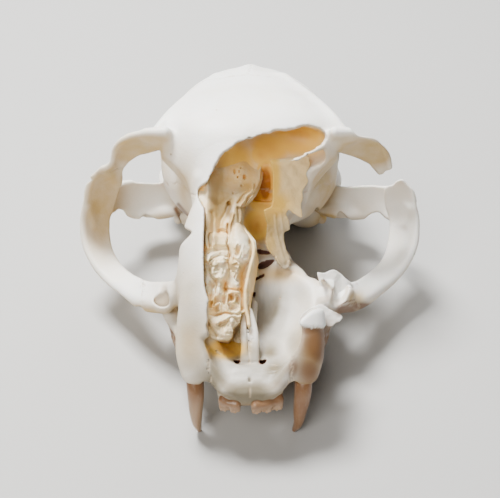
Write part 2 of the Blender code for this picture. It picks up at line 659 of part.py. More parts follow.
def main():
    """Builds every bone."""
    for old in list(bpy.data.objects):
        bpy.data.objects.remove(old)
    bone, tooth, scroll = (made_material(name) for name in FINISHES)
    body = combine(full_skull(), [snout_floor(), socket_plate()], "UNION")
    carve(body, [nose_hollow(), *breaks(), *passages()])
    body = thin_out(keep_largest(body), SKULL_FACES)
    carve(body, [ear_capsule(SOCKET), mirror(ear_capsule(SOCKET))])
    carve(body, [canine(*LEFT_CANINE, SOCKET), mirror(canine(*RIGHT_CANINE, SOCKET))])
    bones = parted(body)
    combine(bones["maxilla_left"], [*broken_root(), *cheek_teeth()], "UNION")
    combine(bones["maxilla_right"], [mirror(t) for t in cheek_teeth()], "UNION")
    combine(bones["premaxilla"], front_teeth(), "UNION")
    for name, obj in bones.items():
        finish(obj, name, bone)
    middle = combine(septum(), [nose_hollow(-0.35)], "INTERSECT")
    finish(middle, "septum", bone)
    finish(scrolls(), "scrolls_right", scroll)
    finish(ear_capsule(), "ear_capsule_left", bone)
    finish(mirror(ear_capsule()), "ear_capsule_right", bone)
    finish(canine(*LEFT_CANINE), "canine_left", tooth)
    finish(mirror(canine(*RIGHT_CANINE)), "canine_right", tooth)


if __name__ == "__main__":
    main()
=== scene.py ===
"""Looks of a cat skull that lies on a table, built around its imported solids.

Lengths are in millimetres and in the skull's own frame, x to its left, y back from the front teeth and
z up from the tooth row, until `rested` lays the points down on the table and turns them into metres.
"""

import math
from itertools import pairwise, product

import bpy
import numpy as np
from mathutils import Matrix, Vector


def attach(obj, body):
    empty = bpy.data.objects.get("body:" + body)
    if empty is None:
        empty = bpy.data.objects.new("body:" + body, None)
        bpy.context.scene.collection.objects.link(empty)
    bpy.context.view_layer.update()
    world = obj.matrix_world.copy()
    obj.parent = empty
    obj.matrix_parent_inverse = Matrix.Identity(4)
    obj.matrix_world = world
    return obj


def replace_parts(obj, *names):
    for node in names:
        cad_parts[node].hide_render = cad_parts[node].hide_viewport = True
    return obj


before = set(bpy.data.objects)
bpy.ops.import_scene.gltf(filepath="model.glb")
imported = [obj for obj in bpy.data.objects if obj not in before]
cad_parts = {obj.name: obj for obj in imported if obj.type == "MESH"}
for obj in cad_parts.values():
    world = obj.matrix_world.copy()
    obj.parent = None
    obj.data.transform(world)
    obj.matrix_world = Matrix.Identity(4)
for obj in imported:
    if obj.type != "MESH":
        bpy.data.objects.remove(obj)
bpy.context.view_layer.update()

# ------------------------------------------------------------------ how the skull lies
# Laid down without its jaw, the skull tips back until it stands on the points of its two canines and on
# the undersides of its two ear capsules. Every piece is worked out level and then laid down this way.

LEAN = math.radians(8.4)
SHIFT = (0.0, -45.9, 11.6)


def leaned(directions):
    """Directions turned about the x axis by the lean, nose up."""
    x, y, z = np.moveaxis(np.asarray(directions, float), -1, 0)
    return np.stack([x, y * math.cos(LEAN) + z * math.sin(LEAN), z * math.cos(LEAN) - y * math.sin(LEAN)], -1)


def rested(points):
    """Points of the level skull as metres on the table: turned by the lean, then shifted."""
    return (leaned(points) + SHIFT) * 0.001


# ------------------------------------------------------------------ camera, table and light
# The skull is seen from in front and well above, as a museum copy on a pale table under soft studio light.

AIM = (0.0, 46.0, 6.5)
EYE_FAR = 240
EYE_COS, EYE_SIN = math.cos(math.radians(30)), math.sin(math.radians(30))
EYE = (0.0, AIM[1] - EYE_FAR * EYE_COS, AIM[2] + EYE_FAR * EYE_SIN)


def placed(name, data):
    """A new object in the scene that holds a camera, a lamp or a mesh."""
    thing = bpy.data.objects.new(name, data)
    bpy.context.scene.collection.objects.link(thing)
    return thing


def turned_to(thing, place, aim):
    """Moves a camera or a lamp to a place, in metres, and turns it to what it looks at."""
    thing.location = Vector(place)
    thing.rotation_euler = (Vector(aim) - Vector(place)).to_track_quat("-Z", "Y").to_euler()


camera = placed("camera", bpy.data.cameras.new("camera"))
turned_to(camera, rested(EYE), rested(AIM))
camera.data.lens, camera.data.sensor_width, camera.data.clip_start = 80.5, 36, 0.01
bpy.context.scene.camera = camera
for name, place, aim, power, size, colour in (
    ("key_light", (-0.14, 0.17, 0.47), (0, 0, 0.02), 9.2, 0.17, (1.0, 0.99, 0.965)),
    ("front_light", (-0.18, -0.40, 0.38), (0, -0.02, 0.02), 2.9, 0.30, (1.0, 0.95, 0.88)),
    ("back_light", (0.12, 0.45, 0.40), (0, 0, 0.02), 1.2, 0.30, (0.96, 0.98, 1.0)),
):
    lamp = bpy.data.lights.new(name, "AREA")
    lamp.energy, lamp.size, lamp.color = power, size, colour
    turned_to(placed(name, lamp), place, aim)
sky = bpy.data.worlds.new("sky")
sky.use_nodes = True
sky.node_tree.nodes["Background"].inputs["Color"].default_value = (0.86, 0.86, 0.88, 1)
sky.node_tree.nodes["Background"].inputs["Strength"].default_value = 0.09
bpy.context.scene.world = sky

across = np.linspace(-0.9, 0.9, 3)
table_x, table_y = np.meshgrid(across, across, indexing="ij")
table_points = np.stack([table_x, table_y, 0 * table_x], -1).reshape(-1, 3)
table_faces = [(i * 3 + j, i * 3 + 3 + j, i * 3 + 4 + j, i * 3 + 1 + j) for i, j in product(range(2), range(2))]
table_mesh = bpy.data.meshes.new("table")
table_mesh.from_pydata(table_points.tolist(), [], table_faces)
table_paint = bpy.data.materials.new("pale_table")
table_paint.use_nodes = True
table_paint.node_tree.nodes["Principled BSDF"].inputs["Base Color"].default_value = (0.44, 0.44, 0.435, 1)
table_paint.node_tree.nodes["Principled BSDF"].inputs["Roughness"].default_value = 0.7
table_mesh.materials.append(table_paint)
placed("table", table_mesh)

# ------------------------------------------------------------------ the fused bone
# The skull's own bone: braincase, forehead, muzzle, cheek arches and base, thin dry bone grown together
# along fine sutures. It was cleaned and bleached, so the outside is nearly white and the inside of the
# nose and the sinus is stained amber. Its finish also carries painted shade: yellow-brown and brown where
# faces turn from the light, darker in hollows, crevices, holes and deep pockets, and dimmer on front faces.
# Each named bone is one closed piece that shares its sutures.

GRAIN = 0.34
FAR = 9


def carved(there, here, soft):
    """The larger of two distances, rounded where they are within `soft` of each other."""
    near = np.maximum(soft - np.abs(there - here), 0)
    return (np.maximum(there, here) + near * near / (4 * soft)).astype(np.float32)


class Space:
    """A block of space cut into a lattice. `far` says at each lattice point how far outside the bone it
    lies, negative inside."""

    def __init__(self, low, high, grain):
        self.low, self.grain = np.array(low, float), grain
        counts = np.ceil((np.array(high) - self.low) / grain).astype(int) + 1
        self.axes = [(self.low[k] + grain * np.arange(counts[k])).astype(np.float32) for k in range(3)]
        self.far = np.full(counts, FAR, np.float32)

    def around(self, shape, spare=1):
        """The lattice around a shape: its slices, the shape's distances there, then x, y and z."""
        low, high, distance = shape
        cuts = tuple(
            slice(*np.searchsorted(axis, (low[k] - spare, high[k] + spare))) for k, axis in enumerate(self.axes)
        )
        place = np.ix_(*(axis[cut] for axis, cut in zip(self.axes, cuts)))
        return cuts, distance(*place), *place

    def add(self, *shapes, soft=1.0, rough=None):
        """Joins shapes to the bone in turn: the smaller of both distances, rounded within `soft` too."""
        for shape in shapes:
            cuts, here, *place = self.around(shape, soft + 1)
            here = here.astype(np.float32) + (rough(*place) if rough else 0)
            self.far[cuts] = -carved(-self.far[cuts], -here, soft)

    def cut(self, *shapes, soft=0.5, rough=None):
        """Takes shapes away in turn: the larger of the bone's distance and minus the shape's."""
        for shape in shapes:
            cuts, here, *place = self.around(shape, soft + 1)
            here = (rough(*place) if rough else 0) - here.astype(np.float32)
            self.far[cuts] = carved(self.far[cuts], here, soft)

    def read(self, values, points):
        """Values of a lattice at any points, blended between the eight lattice points around each."""
        where = (points - self.low) / self.grain
        where = np.clip(where, 0, np.array(values.shape) - 1.001)
        base = where.astype(int)
        part = where - base
        total = 0
        for corner in product((0, 1), repeat=3):
            weight = np.prod(np.where(corner, part, 1 - part), axis=1)
            total = total + weight * values[tuple((base + corner).T)]
        return total

    def slope(self, points):
        """Direction in which the distance grows fastest, from differences 0.6 of a grain to both sides."""
        steps = np.eye(3) * self.grain * 0.6
        rise = [self.read(self.far, points + step) - self.read(self.far, points - step) for step in steps]
        return np.stack(rise, -1) / (1.2 * self.grain)


def blurred(values, times):
    """Each value mixed with its neighbours as 1 : 2 : 1 along each axis."""
    values = values.copy()
    for _ in range(times):
        for axis in range(3):
            line = np.moveaxis(values, axis, 0)
            line[1:-1] = 0.25 * line[:-2] + 0.5 * line[1:-1] + 0.25 * line[2:]
    return values


def averaged(values, reach):
    """The mean over a cube of `reach` lattice steps to every side, from running sums."""
    for axis in range(3):
        line = np.moveaxis(values, axis, 0)
        padded = np.concatenate([np.repeat(line[:1], reach + 1, 0), line, np.repeat(line[-1:], reach, 0)])
        total = np.cumsum(padded, axis=0, dtype=np.float32)
        line = (total[2 * reach + 1:] - total[:-2 * reach - 1]) / (2 * reach + 1)
        values = np.moveaxis(line, 0, axis)
    return values


CLOUD_CELLS = 24


def cloud(x, y, z, size, seed):
    """Smooth random values from -1 to 1: random numbers on a grid of cubes of the given size, blended
    between the corners of each with the weight 3t² - 2t³."""
    table = np.random.default_rng(seed).uniform(-1, 1, (CLOUD_CELLS,) * 3).astype(np.float32)
    cells, weights = [], []
    for value in (x, y, z):
        place = np.asarray(value, np.float32) / size + 40 * CLOUD_CELLS
        cell = np.floor(place).astype(int)
        t = place - cell
        cells.append(cell % CLOUD_CELLS)
        weights.append(t * t * (3 - 2 * t))
    total = 0
    for corner in product((0, 1), repeat=3):
        spot = table[tuple((cell + step) % CLOUD_CELLS for cell, step in zip(cells, corner))]
        for weight, step in zip(weights, corner):
            spot = spot * (weight if step else 1 - weight)
        total = total + spot
    return total


def roughness(amount, size, seed):
    """A roughness for `add` or `cut`: one cloud and a finer one of half its strength."""
    return lambda x, y, z: (
        amount * cloud(x, y, z, size, seed) + 0.5 * amount * cloud(x, y, z, 0.45 * size, seed + 1)
    ).astype(np.float32)


def turning(angles):
    """Rotation matrix for angles in degrees about x, then y, then z."""
    total = np.eye(3)
    for axis, angle in enumerate(angles):
        c, s = math.cos(math.radians(angle)), math.sin(math.radians(angle))
        one, two = (axis + 1) % 3, (axis + 2) % 3
        step = np.eye(3)
        step[one, one], step[one, two], step[two, one], step[two, two] = c, -s, s, c
        total = step @ total
    return total


def egg(centre, radii, below=None, turn=(0, 0, 0)):
    """An ellipsoid: with k the length of the place divided by the radii, and m the length of the place
    divided by their squares, the distance is k (k - 1) / m. `below` is the lower half's own height."""
    matrix = turning(turn)
    radii = np.array(radii, float)
    low_height = below or radii[2]
    reach = np.abs(matrix) @ np.array([radii[0], radii[1], max(radii[2], low_height)])

    def distance(x, y, z):
        a, b, c = (
            matrix[0, k] * (x - centre[0]) + matrix[1, k] * (y - centre[1]) + matrix[2, k] * (z - centre[2])
            for k in range(3)
        )
        height = np.where(c > 0, radii[2], low_height)
        k = np.sqrt((a / radii[0]) ** 2 + (b / radii[1]) ** 2 + (c / height) ** 2) + 1e-4
        m = np.sqrt((a / radii[0] ** 2) ** 2 + (b / radii[1] ** 2) ** 2 + (c / height ** 2) ** 2) + 1e-5
        return k * (k - 1) / m
    return np.array(centre) - reach, np.array(centre) + reach, distance


def flowing(rows, per_span):
    """Catmull-Rom curve through the rows, `per_span` steps between two of them."""
    rows = np.array(rows, float)
    padded = np.vstack([2 * rows[0] - rows[1], rows, 2 * rows[-1] - rows[-2]])
    t = np.linspace(0, 1, per_span, endpoint=False)[:, None]
    spans = []
    for a, b, c, d in zip(padded, padded[1:], padded[2:], padded[3:]):
        bend = (2 * a - 5 * b + 4 * c - d) * t**2 + (3 * b - a - 3 * c + d) * t**3
        spans.append(0.5 * (2 * b + (c - a) * t + bend))
    return np.vstack([*spans, rows[-1:]])


def barrel(sections):
    """A form along the skull, from sections (back, middle, half width, lowest, highest, squareness). With
    q the squareness-norm of the place in its section, the distance is (q - 1) over the slope of q."""
    path = flowing(sections, 10)
    back = path[:, 0]
    low = (np.min(path[:, 1] - path[:, 2]), back[0], np.min(path[:, 3]))
    high = (np.max(path[:, 1] + path[:, 2]), back[-1], np.max(path[:, 4]))

    def distance(x, y, z):
        middle, half, bottom, top, square = (np.interp(y, back, path[:, k]) for k in range(1, 6))
        rise = (top - bottom) / 2
        u = np.abs(x - middle) / half + 1e-3
        v = np.abs(z - (top + bottom) / 2) / rise + 1e-3
        q = (u**square + v**square) ** (1 / square)
        slope = q ** (1 - square) * np.sqrt((u ** (square - 1) / half) ** 2 + (v ** (square - 1) / rise) ** 2)
        return np.maximum((q - 1) / slope, np.maximum(back[0] - y, y - back[-1]))
    return np.array(low), np.array(high), distance


def bar(stations, step=0.4, pinch=0.0):
    """A flat bar along a path, from stations (one edge, other edge, radius there, radius here): at each
    step of the path a round rod from edge to edge, whose distance is that to the segment less the radius.
    `pinch` is how much thinner than its edges the bar is at its middle."""
    stations = [[*a, *b, ra, rb] for a, b, ra, rb in stations]
    spans = np.diff(np.array(stations)[:, :6], axis=0)
    longest = max(np.linalg.norm(spans[:, :3], axis=1).max(), np.linalg.norm(spans[:, 3:], axis=1).max())
    path = flowing(stations, max(2, int(longest / step)))
    a, b, ra, rb = path[:, 0:3], path[:, 3:6], path[:, 6:7], path[:, 7:8]
    along = np.gradient((a + b) / 2, axis=0)
    along /= np.linalg.norm(along, axis=1, keepdims=True) + 1e-9
    across_bar = b - a
    across_bar = across_bar - (across_bar * along).sum(1, keepdims=True) * along
    across_bar /= np.linalg.norm(across_bar, axis=1, keepdims=True) + 1e-9
    return rods(a + ra * across_bar, b - rb * across_bar, ra[:, 0], rb[:, 0], pinch)


def rod(stations, step=0.4):
    """A round bar along a path, from stations (x, back, up, radius), as rods from each step to the next."""
    spans = np.diff(np.array(stations, float)[:, :3], axis=0)
    path = flowing(stations, max(2, int(np.linalg.norm(spans, axis=1).max() / step / 2)))
    return rods(path[:-1, :3], path[1:, :3], path[:-1, 3], path[1:, 3])


def rods(starts, ends, start_radii, end_radii, pinch=0.0):
    """Many round rods as one shape: the smallest of their distances."""
    reach = max(start_radii.max(), end_radii.max())
    low = np.minimum(starts, ends).min(0) - reach
    high = np.maximum(starts, ends).max(0) + reach

    def distance(x, y, z):
        x, y, z = x.ravel(), y.ravel(), z.ravel()
        total = np.full((len(x), len(y), len(z)), FAR, np.float32)
        for p, q, r, s in zip(starts, ends, start_radii, end_radii):
            spare = max(r, s) + 1.9
            cut = tuple(
                slice(*np.searchsorted(axis, (min(p[k], q[k]) - spare, max(p[k], q[k]) + spare)))
                for k, axis in enumerate((x, y, z))
            )
            near = np.ix_(x[cut[0]], y[cut[1]], z[cut[2]])
            dx, dy, dz = (value - start for value, start in zip(near, p))
            way = q - p
            t = np.clip((dx * way[0] + dy * way[1] + dz * way[2]) / max(way @ way, 1e-6), 0, 1)
            gap = np.sqrt((dx - t * way[0]) ** 2 + (dy - t * way[1]) ** 2 + (dz - t * way[2]) ** 2)
            total[cut] = np.minimum(total[cut], gap - (r + t * (s - r)) + 4 * pinch * t * (1 - t))
        return total
    return low, high, distance


def flipped(shape):
    """The same shape on the other side of the skull."""
    low, high, distance = shape
    return (
        np.array([-high[0], low[1], low[2]]), np.array([-low[0], high[1], high[2]]),
        lambda x, y, z: distance(-x[::-1], y, z)[::-1],
    )


def both(shape):
    """The shape and its mirror image."""
    return [shape, flipped(shape)]


def seen(x, y, z):
    """Where a place is seen from in front and above: across and up, in the picture plane through the
    skull's middle, which is the place drawn towards the eye point."""
    ahead, above = y - EYE[1], z - EYE[2]
    scale = EYE_FAR / (ahead * EYE_COS - above * EYE_SIN)
    return x * scale, (ahead * EYE_SIN + above * EYE_COS) * scale


def sighted(u, v, back):
    """The place seen at (across, up) that lies so far back: on the line from the eye point through it."""
    t = (back - EYE[1]) / (EYE_FAR * EYE_COS + v * EYE_SIN)
    return np.stack([u * t, back + 0 * t, EYE[2] + t * (v * EYE_COS - EYE_FAR * EYE_SIN)], -1)


def from_line(u, v, line):
    """How far each seen place lies from the nearest stretch of a line through points."""
    far = 99.0
    for (a, b), (c, d) in pairwise(line):
        t = np.clip(((u - a) * (c - a) + (v - b) * (d - b)) / ((c - a) ** 2 + (d - b) ** 2 + 1e-9), 0, 1)
        far = np.minimum(far, np.hypot(u - a - t * (c - a), v - b - t * (d - b)))
    return far


def window(corners, low, high, per_span=3, grid=0.15):
    """A form between two corners of space that looks like the closed outline (across, up) from the eye
    point. Its distance is that to the nearest stretch of the outline, negative where a level line from
    the place crosses the outline an odd number of times, kept in a table over the picture plane."""
    ring = flowing([*corners, corners[0]], per_span)
    base = ring.min(0) - 5
    side, rise = (np.arange(base[k], ring[:, k].max() + 5, grid) for k in range(2))
    u, v = side[:, None], rise[None, :]
    nearest = from_line(u, v, ring)
    inside = np.zeros(nearest.shape, bool)
    for (a, b), (c, d) in pairwise(ring):
        inside ^= ((b > v) != (d > v)) & (u < a + (v - b) * (c - a) / (d - b + 1e-9))
    table = np.where(inside, -nearest, nearest).astype(np.float32)

    def distance(x, y, z):
        u, v = seen(x, y, z)
        i = np.clip((u - base[0]) / grid, 0, table.shape[0] - 1.01).astype(np.float32)
        j = np.clip((v - base[1]) / grid, 0, table.shape[1] - 1.01).astype(np.float32)
        m, n = i.astype(np.int32), j.astype(np.int32)
        i, j = i - m, j - n
        flat = (1 - j) * ((1 - i) * table[m, n] + i * table[m + 1, n])
        flat = flat + j * ((1 - i) * table[m, n + 1] + i * table[m + 1, n + 1])
        for value, least, most in zip((x, y, z), low, high):
            flat = np.maximum(flat, np.maximum(least - value, value - most))
        return flat
    return np.array(low, float), np.array(high, float), distance


skull = Space((-37.6, -1.8, -6.4), (37.6, 91.4, 41.8), GRAIN)

# braincase, forehead, muzzle and roof of the mouth
skull.add(egg((0, 64.5, 19.4), (20.2, 25, 19.2), below=15))
skull.add(barrel([
    (32, 0, 10.4, 14, 31.6, 2.3), (36, 0, 12, 14, 35, 2.4), (40, 0, 15.6, 16, 37.8, 2.5),
    (44, 0, 18.4, 20, 39.2, 2.4), (48, 0, 18.2, 22, 40, 2.35), (53, 0, 17, 22, 40.1, 2.3),
    (59, 0, 15.2, 22, 39.6, 2.2), (66, 0, 12.4, 24, 38.4, 2),
]), soft=3.0)
skull.add(barrel([
    (0.9, 0, 5, 1, 3, 2), (3, 0, 7.4, 0.6, 5.2, 2.2), (6, 0, 11.6, 0.2, 11, 2.4),
    (10, 0, 13.2, -0.6, 15.6, 2.6), (15, 0, 13.4, -0.6, 19.6, 2.6), (20, 0, 14, -0.6, 23, 2.6),
    (25, 0, 14.6, -0.6, 26.6, 2.5), (30, 0, 13.4, 0, 30.2, 2.4), (36, 0, 9.4, 1, 31, 2.2),
    (43, 0, 7.8, 2.4, 30, 2.2), (54, 0, 8, 4.4, 24, 2),
]), soft=3.0)
skull.add(egg((0, 72, 7.2), (9.5, 16, 3.2)), soft=1.6)
skull.add(egg((0, 82, 14), (14.5, 6, 11.5)), soft=2.0)

# crest along the crown, crest across the nape, ridges over the temples
skull.add(bar([
    ((0, 66, 38.9), (0, 66, 34), 0.9, 0.9), ((0, 74, 37.2), (0, 74, 30), 1, 1),
    ((0, 81, 34.4), (0, 80, 27), 1, 1.1), ((0, 88.2, 30), (0, 84, 24), 1.2, 1.4),
]), soft=2.2)
skull.add(*both(bar([
    ((0, 88.4, 29.8), (0, 82, 25), 0.9, 1.4), ((7, 87.2, 28.4), (6, 80.5, 24), 0.8, 1.4),
    ((13.6, 84, 24), (11.5, 78, 20.5), 0.7, 1.4), ((18, 80.6, 16.5), (15, 75.5, 15), 0.7, 1.4),
    ((19.6, 76.6, 9.6), (16, 73.5, 9.5), 1.1, 1.4),
])), soft=1.8)
skull.add(*both(bar([
    ((20.6, 43.6, 34.2), (16, 46, 32), 1, 1.4), ((18.2, 46.6, 36.4), (14.4, 48, 34), 0.9, 1.4),
    ((16, 51, 37.2), (12, 53, 34.5), 0.8, 1.4), ((12.9, 57.5, 37.5), (9, 59, 35), 0.7, 1.4),
    ((7.6, 66.5, 38), (4, 66, 34), 0.6, 1.4),
])), soft=2.6)

# roots of the canines under the muzzle's skin of bone, and the bone that holds the cheek teeth
skull.add(*both(rod([
    (10.3, 6.4, 3.2, 2.6), (10.9, 8.2, 6.4, 2.8), (10.9, 12.4, 10.4, 2.3), (10.4, 16.4, 14.6, 1.6),
])), soft=1.8)
skull.add(*both(bar([
    ((12.2, 9.6, 1.8), (7, 9.6, 1.8), 1.5, 1.4), ((13.6, 15, 1.2), (8, 15, 1.6), 1.6, 1.4),
    ((15, 21, 1.5), (9, 21, 1.8), 1.8, 1.5), ((17.6, 27, 2.2), (11, 27, 2), 1.9, 1.5),
    ((18, 33, 2.8), (8, 33, 2.2), 1.8, 1.5), ((12.6, 37.8, 2.8), (4, 37.8, 2.2), 1.5, 1.4),
])), soft=1.6)

# eye sockets and the hollows behind them
skull.cut(*both(barrel([
    (24.4, 17.6, 3, 12, 19.5, 2), (26.6, 20.6, 7.4, 8.6, 27.5, 2.1), (30.5, 23.6, 11.8, 6.2, 31.6, 2.2),
    (36, 26, 15, 5.4, 33.2, 2.3), (42, 28, 16.2, 3, 32.6, 2.3), (48, 29.5, 14.8, -3, 29.4, 2.3),
    (54, 31, 12.4, -6, 25, 2.2), (59, 32, 10.8, -8, 22, 2),
])), soft=0.9)
skull.far = blurred(skull.far, 2)

# brows and cheek arches, from above to below: the right ring is whole, the left one is broken open
BROW = [
    ((17.2, 41.4, 36.6), (13.6, 44.6, 29.6), 1.2, 1.2), ((21.5, 42.5, 35.7), (17.4, 46.8, 29), 1, 1),
    ((24.6, 43.7, 34.2), (20.8, 48.2, 27.8), 0.9, 0.85), ((27.2, 45.2, 31.8), (23.8, 49.6, 25.8), 0.8, 0.8),
    ((28.6, 46.3, 28.8), (26, 50.4, 23.6), 0.8, 0.8),
]
CHEEK = [
    ((35.2, 46.8, 17.8), (29.3, 52.2, 14), 0.85, 0.8), ((36, 46, 13.1), (30.4, 51.2, 10.2), 0.85, 0.8),
    ((35.7, 44, 9.1), (29.8, 48.2, 6.4), 0.9, 0.8), ((33.9, 41, 6.2), (27.8, 43.4, 4.6), 0.95, 0.85),
    ((30.9, 37.5, 3.9), (24.2, 38.4, 4.8), 1.1, 0.95), ((26.9, 33, 2.9), (20.1, 32.6, 7), 1.5, 1.2),
    ((22.4, 28.2, 2.6), (15.6, 28.4, 9.2), 2, 1.6), ((17.4, 23.6, 4.6), (12.6, 25, 11.4), 2, 2),
]
skull.add(flipped(bar(BROW + [
    ((29.2, 46.4, 26.8), (26.8, 50.8, 21.8), 0.8, 0.8), ((30.6, 46.7, 25.2), (27.4, 51.4, 19.6), 0.8, 0.8),
], pinch=0.25)), soft=1.4)
skull.add(flipped(bar([
    ((31.4, 46.6, 25.4), (27.6, 51.6, 21.4), 0.8, 0.8), ((33.8, 47, 22.4), (27.9, 52.4, 18), 0.8, 0.8),
] + CHEEK, pinch=0.25)), soft=1.0)
skull.add(bar(BROW + [((29.4, 46.8, 25.6), (27.0, 50.0, 22.6), 0.7, 0.7)], pinch=0.2), soft=1.4)
skull.add(bar([
    ((31.6, 47.4, 24.4), (29.4, 51.2, 20.6), 0.7, 0.7), ((34.2, 47.2, 21.4), (28.8, 52, 17.6), 0.8, 0.8),
] + CHEEK, pinch=0.25), soft=1.0)

# root of each arch on the temple, the jaw joint under it and the hook behind the joint
skull.add(*both(bar([
    ((15.5, 66.5, 19), (15, 66, 5.2), 1.8, 1.8), ((20.5, 63.4, 17.2), (19.4, 63.2, 5.6), 1.4, 1.5),
    ((25.6, 60.2, 16.6), (25, 60.4, 6.2), 0.95, 1.2), ((30.8, 56.4, 16.6), (30.2, 56.8, 8), 0.85, 0.9),
    ((33.2, 51, 17), (32.4, 51.4, 9), 0.8, 0.8), ((34.2, 47.6, 16.4), (33.6, 47.8, 11), 0.7, 0.7),
], pinch=0.2)), soft=1.2)
skull.add(*both(egg((20.8, 63.2, 7.3), (6.8, 3.8, 2.1), turn=(0, 0, -14))), soft=1.0)
skull.add(*both(rod([(16.4, 65.6, 7.0, 1.6), (16.6, 65.4, 3.2, 1.1)])), soft=1.0)

# wings beside the throat passage with their hooked ends, bone behind the ears, neck joints
skull.add(*both(bar([
    ((7.4, 33, 0.6), (7.8, 33, 12), 1, 1.2), ((6.6, 41, -0.4), (7.2, 41, 10), 0.7, 1),
    ((6.2, 47, -1.8), (6.6, 47, 9), 0.55, 1), ((6, 51.4, -3), (6.4, 51.4, 5), 0.5, 0.9),
    ((6, 53.4, -3.2), (6.2, 54.6, 1), 0.5, 0.6),
])), soft=1.0)
for backing in (egg((16.2, 73.0, 9.8), (5.2, 7.6, 4.4)), egg((11.5, 72.0, 8.4), (5.6, 8.6, 3.4))):
    skull.add(*both(backing), soft=1.4)
skull.add(*both(rod([(14.8, 79.8, 9.6, 2.7), (14.6, 81.2, 6.4, 2.1), (14.2, 81.8, 4.4, 1.5)])), soft=1.4)
skull.add(*both(egg((6.4, 86.4, 8.6), (2.9, 4.2, 5.0), turn=(-30, 0, 20))), soft=1.2)

# front of the upper jaw, down to where the front teeth stand, and the side of the nose that is left
skull.add(bar([
    ((-5.2, 3, -1.2), (-5.4, 5, 3.4), 1.1, 1.2), ((-3, 1.9, -1.3), (-2.8, 3.4, 3), 1.1, 1.2),
    ((0, 1.8, -1.2), (0, 3.2, 3), 1.1, 1.2), ((3, 1.9, -1.3), (2.8, 3.4, 3), 1.1, 1.2),
    ((5.2, 3, -1.2), (5.4, 5, 3.4), 1.1, 1.2),
]), soft=1.0)
skull.add(rod([
    (-9, 12.5, 13.2, 1.3), (-8.9, 9.5, 9.6, 1.5), (-7.4, 6.6, 5.8, 1.6), (-4.8, 4.8, 3, 1.5),
    (-2, 4.2, 1.8, 1.4),
]), soft=1.8)
# tear bone's bump on the rim of the right eye socket
skull.add(rod([(-13.0, 24.6, 20.2, 0.8), (-13.9, 25.0, 17.0, 1.2), (-14.0, 25.4, 13.6, 1.1)]), soft=1.6)
# stump where the left cheek bone broke off the upper jaw
skull.add(egg((16.6, 25.6, 7.9), (4.2, 2.3, 2.3), turn=(0, 0, 20)), soft=2.4)
skull.far = blurred(skull.far, 1)
outside = skull.far.copy()

SINUS_WALL, BOWL_WALL, ROOF_THICK, FLAKE_RISE = 1.2, 1.3, 3.4, 0.42

# hollows: the nose, open above where its bones are missing, the sinus over the left eye
skull.cut(barrel([
    (6.4, -0.6, 2.6, 4.4, 9, 2), (8, -0.4, 5.4, 3.5, 17, 2.2), (11, 0, 7.3, 3, 26, 2.4),
    (14, 0, 8.4, 2.6, 28, 2.5), (20, 0, 8.8, 2.7, 33, 2.5), (26, 0, 8.8, 3.4, 38, 2.5),
    (31, 0, 8.6, 6, 42, 2.4), (36, 0, 7.6, 10.6, 32, 2.3), (40, 0, 6.4, 13.6, 30, 2.2),
]))
for chamber in (
    egg((7.4, 41.2, 32.6), (9.8, 7.6, 4.4), turn=(0, 6, -4)), egg((-2.8, 36.4, 29.6), (7.6, 4.8, 5.6)),
    egg((2.2, 38.4, 31.2), (6.0, 6.0, 4.6)),
):
    cuts, inner, *_ = skull.around(chamber)
    inner = np.maximum(inner, outside[cuts] + SINUS_WALL).astype(np.float32)
    skull.far[cuts] = carved(skull.far[cuts], -inner, 1.6)
skull.add(rod([(-9.6, 35.5, 28.6, 1.2), (-9.9, 35.4, 25, 1.5), (-9.4, 33, 21.5, 1.3)]), soft=1.2)
# the bowl that the broken left side of the nose leaves, a skin thick all along the muzzle's own outside
cuts, bowl, *_ = skull.around(barrel([
    (5.4, 3.4, 2.6, 4.6, 14, 2), (6.6, 3.8, 4, 3.6, 17, 2.2), (9, 4.6, 5, 3, 20, 2.3),
    (12, 5, 5.4, 2.9, 24, 2.3), (16, 5.4, 5.8, 3, 28, 2.3), (20, 6.2, 7.2, 3.6, 30, 2.2),
    (24, 6.6, 7.8, 5.4, 34, 2.1), (28, 6.6, 8, 8.4, 36, 2), (31, 6, 7, 12, 36, 2),
]))
skull.far[cuts] = carved(skull.far[cuts], -np.maximum(bowl, outside[cuts] + BOWL_WALL).astype(np.float32), 1.2)
# the front of the jaw over the teeth: a flat white field that leans back to the edge of the nose
cuts, field, x, y, z = skull.around(window([
    (0, -33), (3, -31.6), (4.8, -29.6), (6.1, -27.7), (7.4, -25.5), (8.6, -23.2), (10, -20.6), (8.4, -18.5),
    (-8.4, -18.5), (-8.9, -22.4), (-7.7, -25.2), (-6.6, -27.3), (-5.4, -29.4), (-3, -31.6),
], (-12, -3, 1), (12, 9.5, 24)), 2)
slope_up = 2.1 + 0.44 * y + 0.012 * y ** 2 - 0.012 * x ** 2
gap = carved(field, 0.9 * (slope_up - z), 2.6)
skull.far[cuts] = carved(skull.far[cuts], -gap, 2.0)

